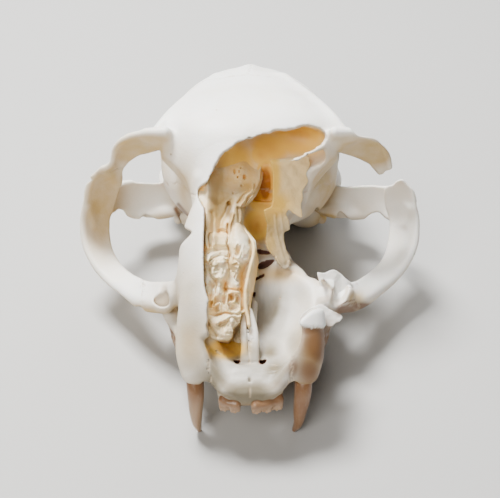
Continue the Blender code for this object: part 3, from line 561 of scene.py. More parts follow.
# what is open from above: the whole right side of the nose and the sinus, by the broken edge's outline
OPENING = [
    (-3.2, -24.2), (-4.6, -23.2), (-6.6, -21.8), (-8.3, -20), (-9.2, -17.4), (-9.2, -13.1), (-8.6, -8.8),
    (-7.9, -6.4), (-7.7, -4.1), (-8.3, -1.9), (-9.4, 0.3), (-9.9, 4), (-9.8, 6.7), (-10, 8.6), (-10.7, 9.8),
    (-11.1, 10.9), (-11.2, 12.2), (-10.9, 13.2), (-10.1, 14), (-9.2, 14.7), (-8.7, 15.5), (-8.3, 16.8),
    (-7.5, 18.6), (-6.5, 20.2), (-5.3, 21.4), (-3.8, 22.2), (-3.1, 22.9), (-1.7, 23.4), (0.6, 23.9),
    (2.4, 24.9), (4.1, 25.1), (5.7, 25.8), (7.4, 25.8), (9.2, 26.1), (10.4, 26.6), (11.9, 26.8), (13.4, 26.6),
    (14.6, 26.3), (15.6, 25.7), (16.3, 24.9), (16.5, 23.8), (16, 22.8), (14.7, 21.6), (13, 20.7), (10.4, 19.3),
    (7.8, 18.7), (6.3, 18.9), (5, 17.6), (5, 8), (5, -4), (4.6, -16), (2, -24),
]
roof = np.interp(
    skull.axes[1],
    [0, 3, 5, 7, 10, 14, 22, 30, 36, 41, 50], [1.8, 2.6, 3.8, 5.2, 8, 12, 18, 24.5, 27, 30.4, 35])
cuts, opening, x, y, z = skull.around(window(OPENING, (-14, -2, 1.8), (19, 50, 44)), 2)
edge_lean = 0.12 + 0.4 * np.clip((z - 24) / 6, 0, 1)
gap = np.maximum(opening, roof[cuts[1]][None, :, None] - z) + edge_lean * np.maximum(-outside[cuts], 0)
gap = np.maximum(gap, np.where((y > 36) & (x > -3), -outside[cuts] - ROOF_THICK, -FAR))
gap = gap + roughness(0.16, 1.1, 3)(x, y, z)
skull.far[cuts] = np.maximum(skull.far[cuts], -gap).astype(np.float32)
# the left side: open down to the rim of the bowl
LEFT_OPENING = [
    (0.1, -23.8), (2.6, -24), (4.6, -24.2), (6.6, -24.4), (8.2, -23.2), (9.2, -21.6), (10, -20.6), (10.9, -18),
    (11, -15.7), (13.6, -13.4), (16.6, -12.6), (18, -9.6), (16.6, -7.6), (15, -6.4), (19.4, -2), (19.4, 8),
    (16.8, 19.6), (14.4, 20.9), (10.6, 18.6), (7.8, 17.9), (5.6, 17.7), (0, 17), (-4, 4), (-4, -10),
    (-2.4, -20), (-1.4, -23),
]
side = np.interp(
    skull.axes[1], [-2, 1, 3.6, 6, 8, 12, 17, 22, 26, 30], [1.6, 1.8, 2.6, 4.6, 6.2, 7.6, 7.6, 8.2, 9.6, 10])
cuts, opening, x, y, z = skull.around(window(LEFT_OPENING, (-2, 3, 1.4), (20, 42, 32)), 2)
gap = carved(opening, side[cuts[1]][None, :, None] - z, 1.5) + 0.1 * np.maximum(-outside[cuts], 0)
gap = np.maximum(gap, y - 40.5)
skull.far[cuts] = carved(skull.far[cuts], -gap, 1.2)

# what shows black between the bones from in front: the cut follows the bones' ragged edges
RIGHT_UPPER_GAP = [
    (-19.9, 21.1), (-19.3, 21.3), (-19.1, 19.1), (-18.9, 16.2), (-18.9, 14.3), (-23.8, 14.3), (-25.5, 14.8),
    (-27.2, 15), (-27.3, 16.8), (-26.4, 18.2), (-25.2, 19.2), (-23.8, 20.1), (-22.1, 20.5),
]
RIGHT_LOWER_GAP = [
    (-30.1, 6.1), (-29.7, 7.5), (-29.1, 7.9), (-28.3, 8.6), (-27.2, 8.3), (-26.4, 7.1), (-25.2, 6.4),
    (-24.4, 6.1), (-23.5, 6.6), (-22.9, 7.3), (-21.9, 7.4), (-20.1, 6.4), (-16.3, 5.4), (-12.9, 3.9),
    (-12.6, 3.3), (-14.3, 1.5), (-15, 0.4), (-15.2, -1.1), (-15.5, -3.9), (-15.8, -5.6), (-16.6, -6.7),
    (-18.9, -7), (-21.5, -7), (-23.8, -6.2), (-26.1, -4.8), (-28.1, -2.5), (-29.3, -0.5), (-30, 2.4),
]
LEFT_UPPER_GAP = [
    (18.8, 20.9), (21.8, 19.8), (23.6, 18.8), (25.3, 18.4), (26.3, 17.3), (27.2, 16.2), (27.9, 15.9),
    (28.7, 16.2), (29.3, 16.8), (30.5, 16.6), (31, 17.8), (33, 19.1), (36, 16.5), (34.5, 14.6), (33.6, 14.7),
    (32.6, 15), (31.4, 14.6), (30.7, 13.9), (29, 13.5), (26.7, 13.7), (23.5, 13.6), (18.8, 13.6), (18.8, 17),
]
LEFT_LOWER_GAP = [
    (7.2, 3.4), (7.4, 4.3), (8.5, 4.7), (8.6, 5.3), (11.2, 6.3), (13, 7.3), (13.8, 8.3), (14.1, 8.9),
    (14.7, 8.9), (14.5, 7.7), (14.6, 6.4), (15.1, 5.5), (16.9, 5.8), (18.5, 6.7), (19, 7.9), (19.4, 8.1),
    (20.4, 7.3), (21.8, 6), (23, 5.6), (24.2, 6), (25.6, 7.3), (27, 7.9), (27.9, 7.7), (29, 6.6), (29.6, 6.1),
    (29.7, 4.7), (29.6, 2.7), (29, 0.4), (27.9, -2.2), (26.1, -4.5), (23.6, -6.4), (21.6, -7.2), (20.6, -6.2),
    (19.7, -5.4), (18.7, -4.8), (17.8, -4.4), (17, -4.6), (16.2, -5.1), (15.2, -5.1), (14.4, -4.7),
    (14.4, -5.7), (14.7, -6.5), (14, -6.3), (13.1, -6.2), (12.2, -5.7), (11.5, -4.7), (10.4, -3.5), (9.8, -2.3),
    (8.8, -1.4), (7.8, -0.2), (7.3, 1.3),
]
for gap_outline, low, high in (
    (RIGHT_UPPER_GAP, (-34, 40, 10), (-14, 66, 34)), (RIGHT_LOWER_GAP, (-33, 22, -4), (-9, 62, 26)),
    (LEFT_UPPER_GAP, (14, 40, 10), (38, 66, 34)), (LEFT_LOWER_GAP, (5, 20, -4), (33, 62, 26)),
):
    skull.cut(window(gap_outline, low, high), soft=0.3, rough=roughness(0.06, 0.9, 7))
# outside of the cheek arches, with the chipped suture over each cheek bone
RIGHT_ARCH_SIDE = [
    (-19.5, 28.2), (-21.5, 27), (-23.3, 25.6), (-24.9, 25.2), (-26.3, 24.9), (-27.2, 24.5), (-28, 24),
    (-29.4, 22.3), (-29.8, 20.5), (-30.2, 18.8), (-31.2, 18.1), (-32, 17.8), (-33.4, 16.4), (-34.5, 15.5),
    (-33.9, 15), (-34.5, 14.5), (-35.4, 13.6), (-35.8, 10.5), (-36.5, 7.1), (-36.5, 3), (-35.6, -0.5),
    (-33.4, -4.8), (-30.2, -8), (-27.6, -9.9), (-25, -12.2), (-23.5, -12.3), (-22.4, -13.5), (-20.1, -14.8),
    (-18.4, -15.8), (-17.4, -17.3), (-20, -24), (-44, -24), (-44, 32), (-24, 32),
]
LEFT_ARCH_SIDE = [
    (19.9, 27.9), (21.6, 25.9), (23, 24.5), (25, 24.1), (26.8, 23.7), (28.4, 22.4), (30, 20.6), (30.5, 19.1),
    (30.7, 18), (31.2, 16), (31.5, 15.2), (32.3, 15.1), (32.7, 15.2), (33.6, 14.2), (35.1, 12.6), (35.8, 10.6),
    (35.7, 9.7), (36.4, 6.7), (36.4, 2.4), (35.7, -0.9), (33.6, -4.8), (31.9, -7.8), (29.6, -9.9),
    (27.9, -10.9), (25.7, -12.1), (22.3, -13.7), (20.1, -14.6), (18, -18), (22, -26), (44, -26), (44, 32),
    (24, 32),
]
for side_outline, low, high in (
    (RIGHT_ARCH_SIDE, (-40, 27, 0), (-15, 58, 42)), (LEFT_ARCH_SIDE, (15, 27, 0), (40, 58, 42)),
):
    skull.cut(window(side_outline, low, high), soft=0.3, rough=roughness(0.05, 0.8, 9))

# the slot into the hollow behind the nose, and the holes in its lower wall
skull.cut(window([
    (4, 18), (4.7, 17.4), (4.9, 16), (4.9, 11.6), (4.6, 10.2), (1.2, 10.4), (0.3, 10.9), (1, 12), (1.5, 13),
    (2, 14.2), (2.4, 17.2), (3, 17.9),
], (-0.5, 34, 18), (6, 42.6, 33)), soft=0.6, rough=roughness(0.12, 0.8, 11))


def first_bone(u, v, start, end):
    """How far back the sight line through (across, up) first meets bone."""
    back = np.arange(start, end, 0.1)
    inside = skull.read(skull.far, sighted(u, v, back)) < 0
    return back[np.argmax(inside)] if inside.any() else end


HOLES = [
    [(1.4, 0.5), (3.2, -0.1), (4.4, -1.05), (3, -1.1), (1.8, -1)],
    [(1.4, -3.9), (2, -3.2), (3.4, -2.3), (5.4, -1.8), (4.8, -3), (3.6, -3.9), (2.4, -4.3)],
    [(0.8, -6.4), (1.9, -5.9), (3, -5.4), (2.9, -5.9), (1.9, -6.4), (0.9, -6.9)],
    [(0.6, -9.6), (0.9, -9.2), (1.2, -9.5), (0.8, -10.4)],
    [(1.8, -23.7), (2.6, -24), (3.6, -23.6), (3.3, -24.4), (2.5, -24.8), (1.9, -24.4)],
    [(-3.7, -23.7), (-2.8, -24), (-2, -23.8), (-2.1, -24.4), (-2.8, -24.7), (-3.4, -24.3)],
]
hole_depth = np.full(skull.far.shape, FAR, np.float32)
for corners in HOLES:
    middle = np.mean(corners, 0)
    in_floor = middle[1] < -20
    back = first_bone(*middle, 4 if in_floor else 14, 44)
    hole = window(corners, (-6, back - 4, 0), (8, back + (2.6 if in_floor else 0.7), 24))
    cuts, near_hole, *_ = skull.around(hole)
    hole_depth[cuts] = np.minimum(hole_depth[cuts], near_hole.astype(np.float32))
    skull.far[cuts] = carved(skull.far[cuts], -near_hole.astype(np.float32), 0.2)

# passages: throat, cord, braincase, ears, tear and cheek channels, holes in the roof of the mouth
skull.cut(barrel([
    (34.5, 0, 4.4, 2.9, 6.8, 2.3), (36.4, 0, 5, 2.9, 7.4, 2.4), (39.6, 0, 5.2, -8, 7.6, 3),
    (46, 0, 5, -8, 7, 3), (55, 0, 4.4, -8, 5.6, 3), (59, 0, 3, -8, 4.4, 3),
]), soft=0.8)
skull.cut(egg((0, 85.6, 11.0), (6.6, 12, 5.4), turn=(-12, 0, 0)))
skull.cut(egg((0, 67, 19.4), (16, 17, 15.5), below=9), soft=1.0)
skull.cut(*both(rod([(23, 67.2, 8.6, 2.0), (15.2, 69.4, 8.2, 1.7)])), soft=0.6)
skull.cut(*both(rod([(16.6, 19.6, 6.9, 1.25), (17.6, 24, 8.8, 1.4), (19.5, 32, 12, 1.7)])), soft=0.5)
skull.cut(egg((-12.9, 27.0, 14.6), (0.8, 2.6, 1.2)), soft=0.5)
skull.cut(window([
    (-20.7, -11.3), (-20.3, -10.2), (-19.2, -9.4), (-18.1, -9.2), (-17.5, -10.2), (-17.4, -11.9),
    (-18.4, -12.4), (-19.7, -12.2),
], (-24, 14, 3), (-15, 26.0, 14)), soft=0.5)
skull.cut(*both(egg((2.7, 8.8, 0.6), (0.8, 1.7, 2.2))), soft=0.4)
skull.cut(egg((-0.05, 3.3, 4.0), (0.28, 0.45, 1.6)), soft=0.2)
skull.cut(*both(egg((7.7, 3.4, 0.4), (1.55, 3.4, 2.5))), soft=0.6)

# the two low walls on the nose's floor that held the septum's foot
skull.add(bar([
    ((-1.95, 9.3, 3.7), (1.75, 9.3, 3.7), 0.55, 0.55), ((-1.8, 11.4, 5.2), (1.75, 11.4, 5.2), 0.6, 0.6),
    ((-1.9, 14.2, 7.2), (1.5, 14.2, 7.4), 0.55, 0.55), ((-1.7, 17.4, 9.4), (0.5, 17.4, 9.6), 0.45, 0.45),
]), soft=0.6)
skull.add(bar([
    ((-1.6, 9.6, 2), (1.4, 9.6, 2), 0.9, 0.9), ((-1.4, 14, 4), (1.4, 14, 4), 1.2, 1.2),
    ((-1.2, 18, 4.4), (1.2, 18, 4.4), 1.2, 1.2), ((-0.8, 26, 5), (0.8, 26, 5), 1.2, 1.2),
]), soft=0.8)
skull.cut(bar([
    ((-0.3, 9.6, 5.4), (-0.25, 9.6, 4.3), 0.16, 0.14), ((-0.35, 11.4, 7.2), (-0.3, 11.4, 5), 0.24, 0.2),
    ((-0.4, 14.2, 9.2), (-0.4, 14.2, 6.9), 0.28, 0.24), ((-0.5, 18.5, 11.8), (-0.5, 18.5, 8.6), 0.34, 0.3),
], 0.2), soft=0.25)
# a flake of the broken rim, a little raised, whose ragged lower edge hangs over the side of the muzzle
LOWER_SPLINTER = [
    (10.6, -15.7), (11.3, -14), (12.9, -12.9), (14.1, -12.2), (15.2, -11.9), (16.6, -12.6), (17.9, -13.4),
    (19, -13.9), (19.9, -14.5), (19.5, -15.2), (19.2, -15.7), (18.4, -15.9), (17.7, -16.6), (16.7, -16.8),
    (16.2, -16.4), (15.8, -16.8), (14.9, -16.9), (14.5, -16.5), (14.1, -17), (13.6, -16.5), (13.3, -17.2),
    (12.8, -16.5), (12.3, -16.9), (12, -16.3), (11.6, -16.8), (11.2, -16.2), (10.8, -16.5),
]
flake_far = np.full(skull.far.shape, FAR, np.float32)
cuts, flake, *_ = skull.around(window(LOWER_SPLINTER, (9, 5, 4), (17.6, 22, 17), per_span=2))
flake_far[cuts] = flake
skull.far[cuts] = np.minimum(skull.far[cuts], np.maximum(flake_far[cuts], skull.far[cuts] - FLAKE_RISE))


def between(values, low, high):
    """0 below `low`, 1 above `high`, and 3t² - 2t³ in between. With `low` above `high` it falls."""
    t = np.clip((values - low) / (high - low), 0, 1)
    return t * t * (3 - 2 * t)


def tilted(y, z, middle_y, middle_z, degrees):
    """Back and up on axes that are tipped by an angle about a place in the side view."""
    c, s = math.cos(math.radians(degrees)), math.sin(math.radians(degrees))
    dy, dz = y - middle_y, z - middle_z
    return middle_y + dy * c - dz * s, middle_z + dz * c + dy * s


def bone_numbers(x, y, z):
    """Which bone each place belongs to: the first region of this list that holds it."""
    wave = 0.5 * cloud(x, y, z, 2.2, 40) + 0.25 * cloud(x, y, z, 0.9, 41)
    x, y, z = x + wave, y + wave, z + wave
    back_brow, up_brow = tilted(y, z, 28, 28, 20)
    back_nape, _ = tilted(y, z, 76.5, 6, 18)
    arch = (y > 8) & (y < 54.2)
    regions = [
        ("zygomatic_right", arch & (x < -21.8) & (z < 24.4)),
        ("zygomatic_left", arch & (x > 21.8) & (z < 23.4)),
        ("frontal", (up_brow > 28) & (back_brow < 57)),
        ("occipital", back_nape > 76.5),
        ("premaxilla", (abs(x) < 7.5) & (y < 8.4) & (z < 16)),
        ("maxilla_right", (x < 0) & (y < 37.6)),
        ("maxilla_left", (x >= 0) & (y < 37.6)),
        ("palatine", (y < 54.5) & (z < 60)),
        ("temporal_left", (x > 13.6) & (z < 17.5)),
        ("temporal_right", (x < -13.6) & (z < 17.5)),
        ("sphenoid", (z < 9.5) & (y > 0)),
        ("parietal_left", (x >= 0) & (y > 0)),
        ("parietal_right", (x < 0) & (y > 0)),
    ]
    numbers = np.zeros(np.broadcast_shapes(x.shape, y.shape, z.shape), np.uint8)
    for number, (_, held) in reversed(list(enumerate(regions, 1))):
        numbers[np.broadcast_to(held, numbers.shape)] = number
    return numbers, [name for name, _ in regions]


def mixed_cells(numbers):
    """Which lattice cells have corners that belong to more than one bone."""
    size = np.array(numbers.shape) - 1
    first, *others = (
        numbers[tuple(slice(step, step + count) for step, count in zip(corner, size))]
        for corner in product((0, 1), repeat=3)
    )
    return np.any([other != first for other in others], axis=0)


def skin_points(space, numbers):
    """One point in every lattice cell that a surface passes: the mean of the places where the surface
    crosses the cell's edges, or the cell's middle on a suture inside the bone. Returns the cell's row
    number in the list of points, or -1, for every cell, the points, and which lie on a surface."""
    far = space.far
    mixed = mixed_cells(numbers)
    cells = np.argwhere(mixed)
    row = np.full(mixed.shape, -1, np.int32)
    row[mixed] = np.arange(len(cells))
    total = np.zeros((len(cells), 3))
    count = np.zeros(len(cells))
    for axis in range(3):
        for one, two in product((0, 1), repeat=2):
            start = np.zeros(3, int)
            start[(axis + 1) % 3], start[(axis + 2) % 3] = one, two
            end = start.copy()
            end[axis] = 1
            f = far[tuple((cells + start).T)]
            g = far[tuple((cells + end).T)]
            crossed = (f < 0) != (g < 0)
            t = np.where(crossed, f / np.where(crossed, f - g, 1), 0)
            place = start + t[:, None] * (end - start)
            total[crossed] += place[crossed]
            count[crossed] += 1
    place = np.where(count[:, None] > 0, total / np.maximum(count, 1)[:, None], 0.5)
    return row, (cells + place) * space.grain + space.low, count > 0


def skin_faces(row, numbers, wanted):
    """The four-cornered faces round one bone: one for each lattice edge that leaves it, through the points
    of the four cells round that edge, turned so that it looks outwards."""
    faces = []
    own = numbers == wanted
    for axis in range(3):
        near = np.moveaxis(own, axis, 0)
        cells = np.moveaxis(row, axis, 0)
        change = near[:-1, 1:-1, 1:-1].astype(np.int8) - near[1:, 1:-1, 1:-1]
        for sign in (1, -1):
            i, j, k = np.nonzero(change == sign)
            corners = (0, 0), (1, 0), (1, 1), (0, 1)
            ring = np.stack([cells[i, j + one, k + two] for one, two in corners], -1)
            faces.append(ring if (sign > 0) != (axis == 1) else ring[:, ::-1])
    return np.vstack(faces)


def finished(name, mesh, values, paint, normals=None):
    """The piece that a mesh makes: smooth, by its own normals where they are given, with the values of its
    points and its paint, riding on the skull."""
    mesh.polygons.foreach_set("use_smooth", np.ones(len(mesh.polygons), bool))
    for key, value in values.items():
        mesh.attributes.new(key, "FLOAT", "POINT").data.foreach_set("value", value.astype(np.float32))
    mesh.update(calc_edges=True)
    mesh.validate()
    if normals is not None:
        mesh.normals_split_custom_set_from_vertices(leaned(normals).astype(np.float32))
    mesh.materials.append(paint)
    piece = placed(name, mesh)
    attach(piece, "root")
    return piece


def skin_piece(name, points, faces, normals, values, paint):
    """A closed piece from rows of points and faces, shaded by the true slope of the bone."""
    used, faces = np.unique(faces, return_inverse=True)
    mesh = bpy.data.meshes.new(name)
    mesh.vertices.add(len(used))
    mesh.vertices.foreach_set("co", rested(points[used]).astype(np.float32).ravel())
    mesh.loops.add(faces.size)
    mesh.loops.foreach_set("vertex_index", faces.astype(np.int32).ravel())
    mesh.polygons.add(faces.size // 4)
    mesh.polygons.foreach_set("loop_start", np.arange(0, faces.size, 4, dtype=np.int32))
    values = {key: value[used] for key, value in values.items()}
    return finished(name, mesh, values, paint, normals[used])


def bone_surface(space, numbers):
    """Points and normals of the bone's skin. Each point is moved twice along the slope onto the surface."""
    row, points, crossed = skin_points(space, numbers)
    for _ in range(2):
        slope = space.slope(points)
        length = np.maximum((slope ** 2).sum(1), 0.2)
        step = (space.read(space.far, points) / length)[:, None] * slope
        step = np.clip(step, -0.3 * space.grain, 0.3 * space.grain)
        points = np.where(crossed[:, None], points - step, points)
    slope = space.slope(points)
    return row, points, slope / (np.linalg.norm(slope, axis=1, keepdims=True) + 1e-9)


bones, bone_names = bone_numbers(*np.ix_(*skull.axes))
numbers = np.where(skull.far < 0, bones, 0).astype(np.uint8)


def spotted(u, v, spots):
    """How stained a seen place is: the strongest of some soft round spots, each (across, up, its half
    width, its half height, strength), which fade as exp(-q²)."""
    return np.max([
        strength * np.exp(-((u - a) / wide) ** 2 - ((v - b) / tall) ** 2)
        for a, b, wide, tall, strength in spots
    ], axis=0)


def trail(u, v, points, wide, tall):
    """A ridge along a line through points: its height falls as exp(-(distance / width)²)."""
    return tall * np.exp(-(from_line(u, v, flowing(points, 6)) / wide) ** 2)


# Soft spots (across, up, half width, half height, strength) of amber stain inside the nose and sinus; above
# 1.15 the paint turns brown, painted shade in the deepest pockets.
AMBER_STAINS_AND_POCKET_SHADE = [
    (10, 23.4, 7.5, 4.2, 1), (10.8, 24.4, 5.5, 2.4, 1.2), (2.5, 20.2, 3, 2.6, 1.1), (4.5, 21.8, 5.5, 3.8, 1),
    (-3, 19, 6.5, 5, 0.85), (3.3, 14, 2, 5.6, 1.9), (-10.4, 11.6, 2.4, 3.4, 0.7), (-9.6, -4, 1.6, 12, 0.6),
    (2.8, 9.6, 3.2, 2, 1.25), (1.6, 5.2, 3.4, 3.9, 1.3), (3, 1, 3, 3, 0.2), (-5, -21.5, 4.6, 2.2, 1.25),
    (-4.9, 9.7, 1.2, 2, 0.8), (-1.5, -2, 2, 12, 0.8), (6, -5.4, 7, 2.4, 0.5), (-2.4, -19, 1.4, 5, 0.35),
    (11.5, -10, 6, 5, 0.08),
]
# Spots of painted shade, yellow-brown where faces lie in shade, such as the inner faces of the cheek arches and
# the muzzle's lower parts.
TAN_SHADE_PATCHES = [
    (-31.8, 8, 4.4, 11, 1), (-23.5, 21.5, 6.5, 3, 1.1), (25.5, 20.8, 7, 2.8, 1), (-14, 12, 2.4, 8, 0.7),
    (16.2, 14.5, 3.2, 8, 0.75), (-18.5, 7, 3.2, 1.6, 0.5), (17, 7, 2.6, 2.4, 0.8),
    (-12.6, -19.5, 4.6, 6.5, 0.95), (-18.4, 17, 3, 4, 0.35), (-24, -13.4, 8, 2, 0.65), (13.4, -22, 5, 8, 1),
    (0, -31, 8, 3, 0.5), (24, 8, 3, 4, 0.3), (15, 9.5, 3, 5, 0.6), (-6, -30, 3, 6, 0.35),
    (-10, -26, 6, 5, 0.35), (15.5, 16, 3, 5, 0.5), (-14.5, -12, 4.5, 11, 0.5), (-7.6, -27, 1.6, 4, 0.5),
    (0, -33.4, 7.5, 1.5, 0.9), (-14.5, 11, 3, 7, 0.5), (22.8, -10.6, 1.9, 1.7, 1.1),
]
# Spots where painted shade is left off, so that the roots of the cheek arches look lit.
UNSHADED_PATCHES = [(-16.5, 10, 6, 3.2, 0.9), (23.5, 10, 6, 3.2, 0.9)]
# Spots of painted shade that dim the front faces of the muzzle and jaw.
DIM_SHADE_PATCHES = [
    (5.5, -13, 5.4, 8.5, 0.95), (0, -24, 8, 5, 1), (0, -31, 9, 4, 1.2), (-7.8, -27.5, 4, 5, 1.25),
    (-12.5, -14, 6, 14, 0.6), (5.3, -26, 4, 5, 1.15), (5.3, -5.5, 3, 2, 0.9), (10, -10, 3.5, 4, 0.6),
    (9, -20, 2.4, 5, 0.65), (4.5, -22, 3, 4, 1.1),
]
# Spots of painted shade, dark brown, on the muzzle's shaded side, under the raised flake and at the cheek
# bone's broken end.
BROWN_SHADE_PATCHES = [
    (15, -20.5, 5, 6, 1.1), (12.8, -26.4, 3.6, 4.6, 0.95), (9.4, -25.5, 2, 2.8, 0.8),
    (6.8, -29.2, 2.8, 1.6, 0.5), (0, -33.8, 7, 0.9, 0.55), (24, -12.3, 3, 0.9, 1.2),
    (20.6, -13.3, 2.6, 1.4, 1.35), (13.6, -17.6, 4.4, 1.8, 1), (10.6, -29.6, 3.4, 1.4, 0.6),
    (-11.8, -29.6, 3, 1, 0.35),
]


def bone_marks(space, points, normals, outer):
    """What the finish of the bone needs at each point: how hollow the place is, for painted shade in hollows
    and crevices, how deep it lies inside the whole bone and so how amber or freshly broken it is, and painted
    shade where it looks down or away from the light and in brown and dim patches."""
    filled = (space.far < 0).astype(np.float32)
    # How filled the space round each point is, which sets the painted shade in hollows and tight crevices.
    wide = space.read(averaged(filled, int(2.6 / space.grain)), points + 1.2 * normals)
    tight = space.read(averaged(filled, int(0.9 / space.grain)), points + 0.4 * normals)
    deep = between(outer, 0.35, 1.3)
    u, v = seen(*points.T)
    amber = deep * spotted(u, v, AMBER_STAINS_AND_POCKET_SHADE) * between(normals @ (0, -0.5, 0.87), -0.9, -0.1)
    amber = amber * between(points[:, 1], 54, 50)
    # Painted shade: faces turned from the light, hollows and shaded patches grow yellow-brown, except on the
    # unshaded spots.
    shade = between(-(normals @ (-0.15, -0.30, 0.94)), -0.80, 0.45)
    patch = spotted(u, v, TAN_SHADE_PATCHES) * between(points[:, 1], 72, 66)
    pale = spotted(u, v, UNSHADED_PATCHES)
    tan = np.clip((0.6 * shade + 0.5 * between(wide, 0.35, 0.9) * (1 - deep)) * (1 - pale) + patch, 0, 1)
    # Painted shade: dark brown patches on the shaded side of the muzzle.
    brown = np.maximum(1 - deep, u > 18.2) * spotted(u, v, BROWN_SHADE_PATCHES) * between(points[:, 1], 36, 31)
    # Painted shade: dim front faces of the muzzle and jaw.
    dim = spotted(u, v, DIM_SHADE_PATCHES) * between(-points[:, 1], -34, -26)
    return {
        "hollow": between(wide, 0.50, 0.98) * (1 - pale),
        "dim": dim * (1 - 0.85 * between(amber, 0.4, 0.9)),
        "pit": between(tight, 0.62, 0.98),
        "amber": np.clip(amber, 0, 1.6), "tan": tan, "brown": brown,
        "broken": between(outer, 0.12, 0.4) * between(-outer, -1.5, -1.0),
    }


row, points, normals = bone_surface(skull, numbers)
marks = bone_marks(skull, points, normals, -skull.read(outside, points))
u, v = seen(*points.T)
open_side = between(-skull.read(outside, points), 1.2, 0.6)
midline = trail(u, v, [(0, -25.2), (-0.05, -27), (0.02, -29), (0, -31.8)], 0.14, 1)
marks["seam"] = np.maximum(mixed_cells(bones)[row >= 0], open_side * midline)
# Painted shadow inside the shallow holes.
marks["pit"] = np.maximum(marks["pit"], between(-skull.read(hole_depth, points), -0.16, -0.04))
# specks of dirt, (across, down) as measured in the photo, with the mm to a pixel and the photo's middle
PIXEL, MIDDLE = 0.21467, (250.5, 249)
SPECKS = [
    (190, 151), (201, 155), (194.5, 159.5), (202.6, 164), (252, 115), (166, 118), (305, 299), (312.5, 287),
    (316, 301.7), (355, 293.7), (207, 158), (198, 149), (236, 128), (281, 352), (277, 361), (290, 330),
]
specks = [((a - MIDDLE[0]) * PIXEL, (MIDDLE[1] - b) * PIXEL, 0.22, 0.2, 0.7) for a, b in SPECKS]
marks["pit"] = np.maximum(marks["pit"], open_side * spotted(u, v, specks) * between(points[:, 1], 60, 50))
# dark fibres behind the muzzle, on the cheek bone's broken end, and the crack over that end
fibres = sum(trail(u, v, line, wide, 1) for line, wide in (
    ([(-16, 8.6), (-14.4, 6), (-12.2, 4.2)], 0.55), ([(-15.4, 9.6), (-13.6, 7.4), (-11.8, 5.8)], 0.45),
))
torn = sum(trail(u, v, line, 0.2, 1.0) for line in (
    [(19.4, -12.9), (21, -12), (22.8, -11.5)], [(19.6, -13.5), (21.6, -12.6), (23.2, -12.2)],
    [(18.8, -12.4), (20.6, -11.4), (22.4, -10.9)],
))
fibres = np.clip(fibres, 0, 1) * between(points[:, 1], 30, 36)
fibres = fibres + torn * open_side * between(-points[:, 1], -36, -33)
crack = trail(u, v, [(16.0, -8.9), (17.9, -8.7), (20.0, -8.2), (22.2, -8.3)], 0.13, 0.9)
crack = crack * between(-points[:, 1], -34, -33)
marks["pit"] = np.maximum(marks["pit"], crack * open_side)
# the flake gets no painted shade, so it is as white as the outside
off_flake = 1 - between(-skull.read(flake_far, points), -0.25, 0.05)
marks["brown"] = np.maximum(marks["brown"], fibres)
for key in ("brown", "tan", "dim"):
    marks[key] = marks[key] * off_flake


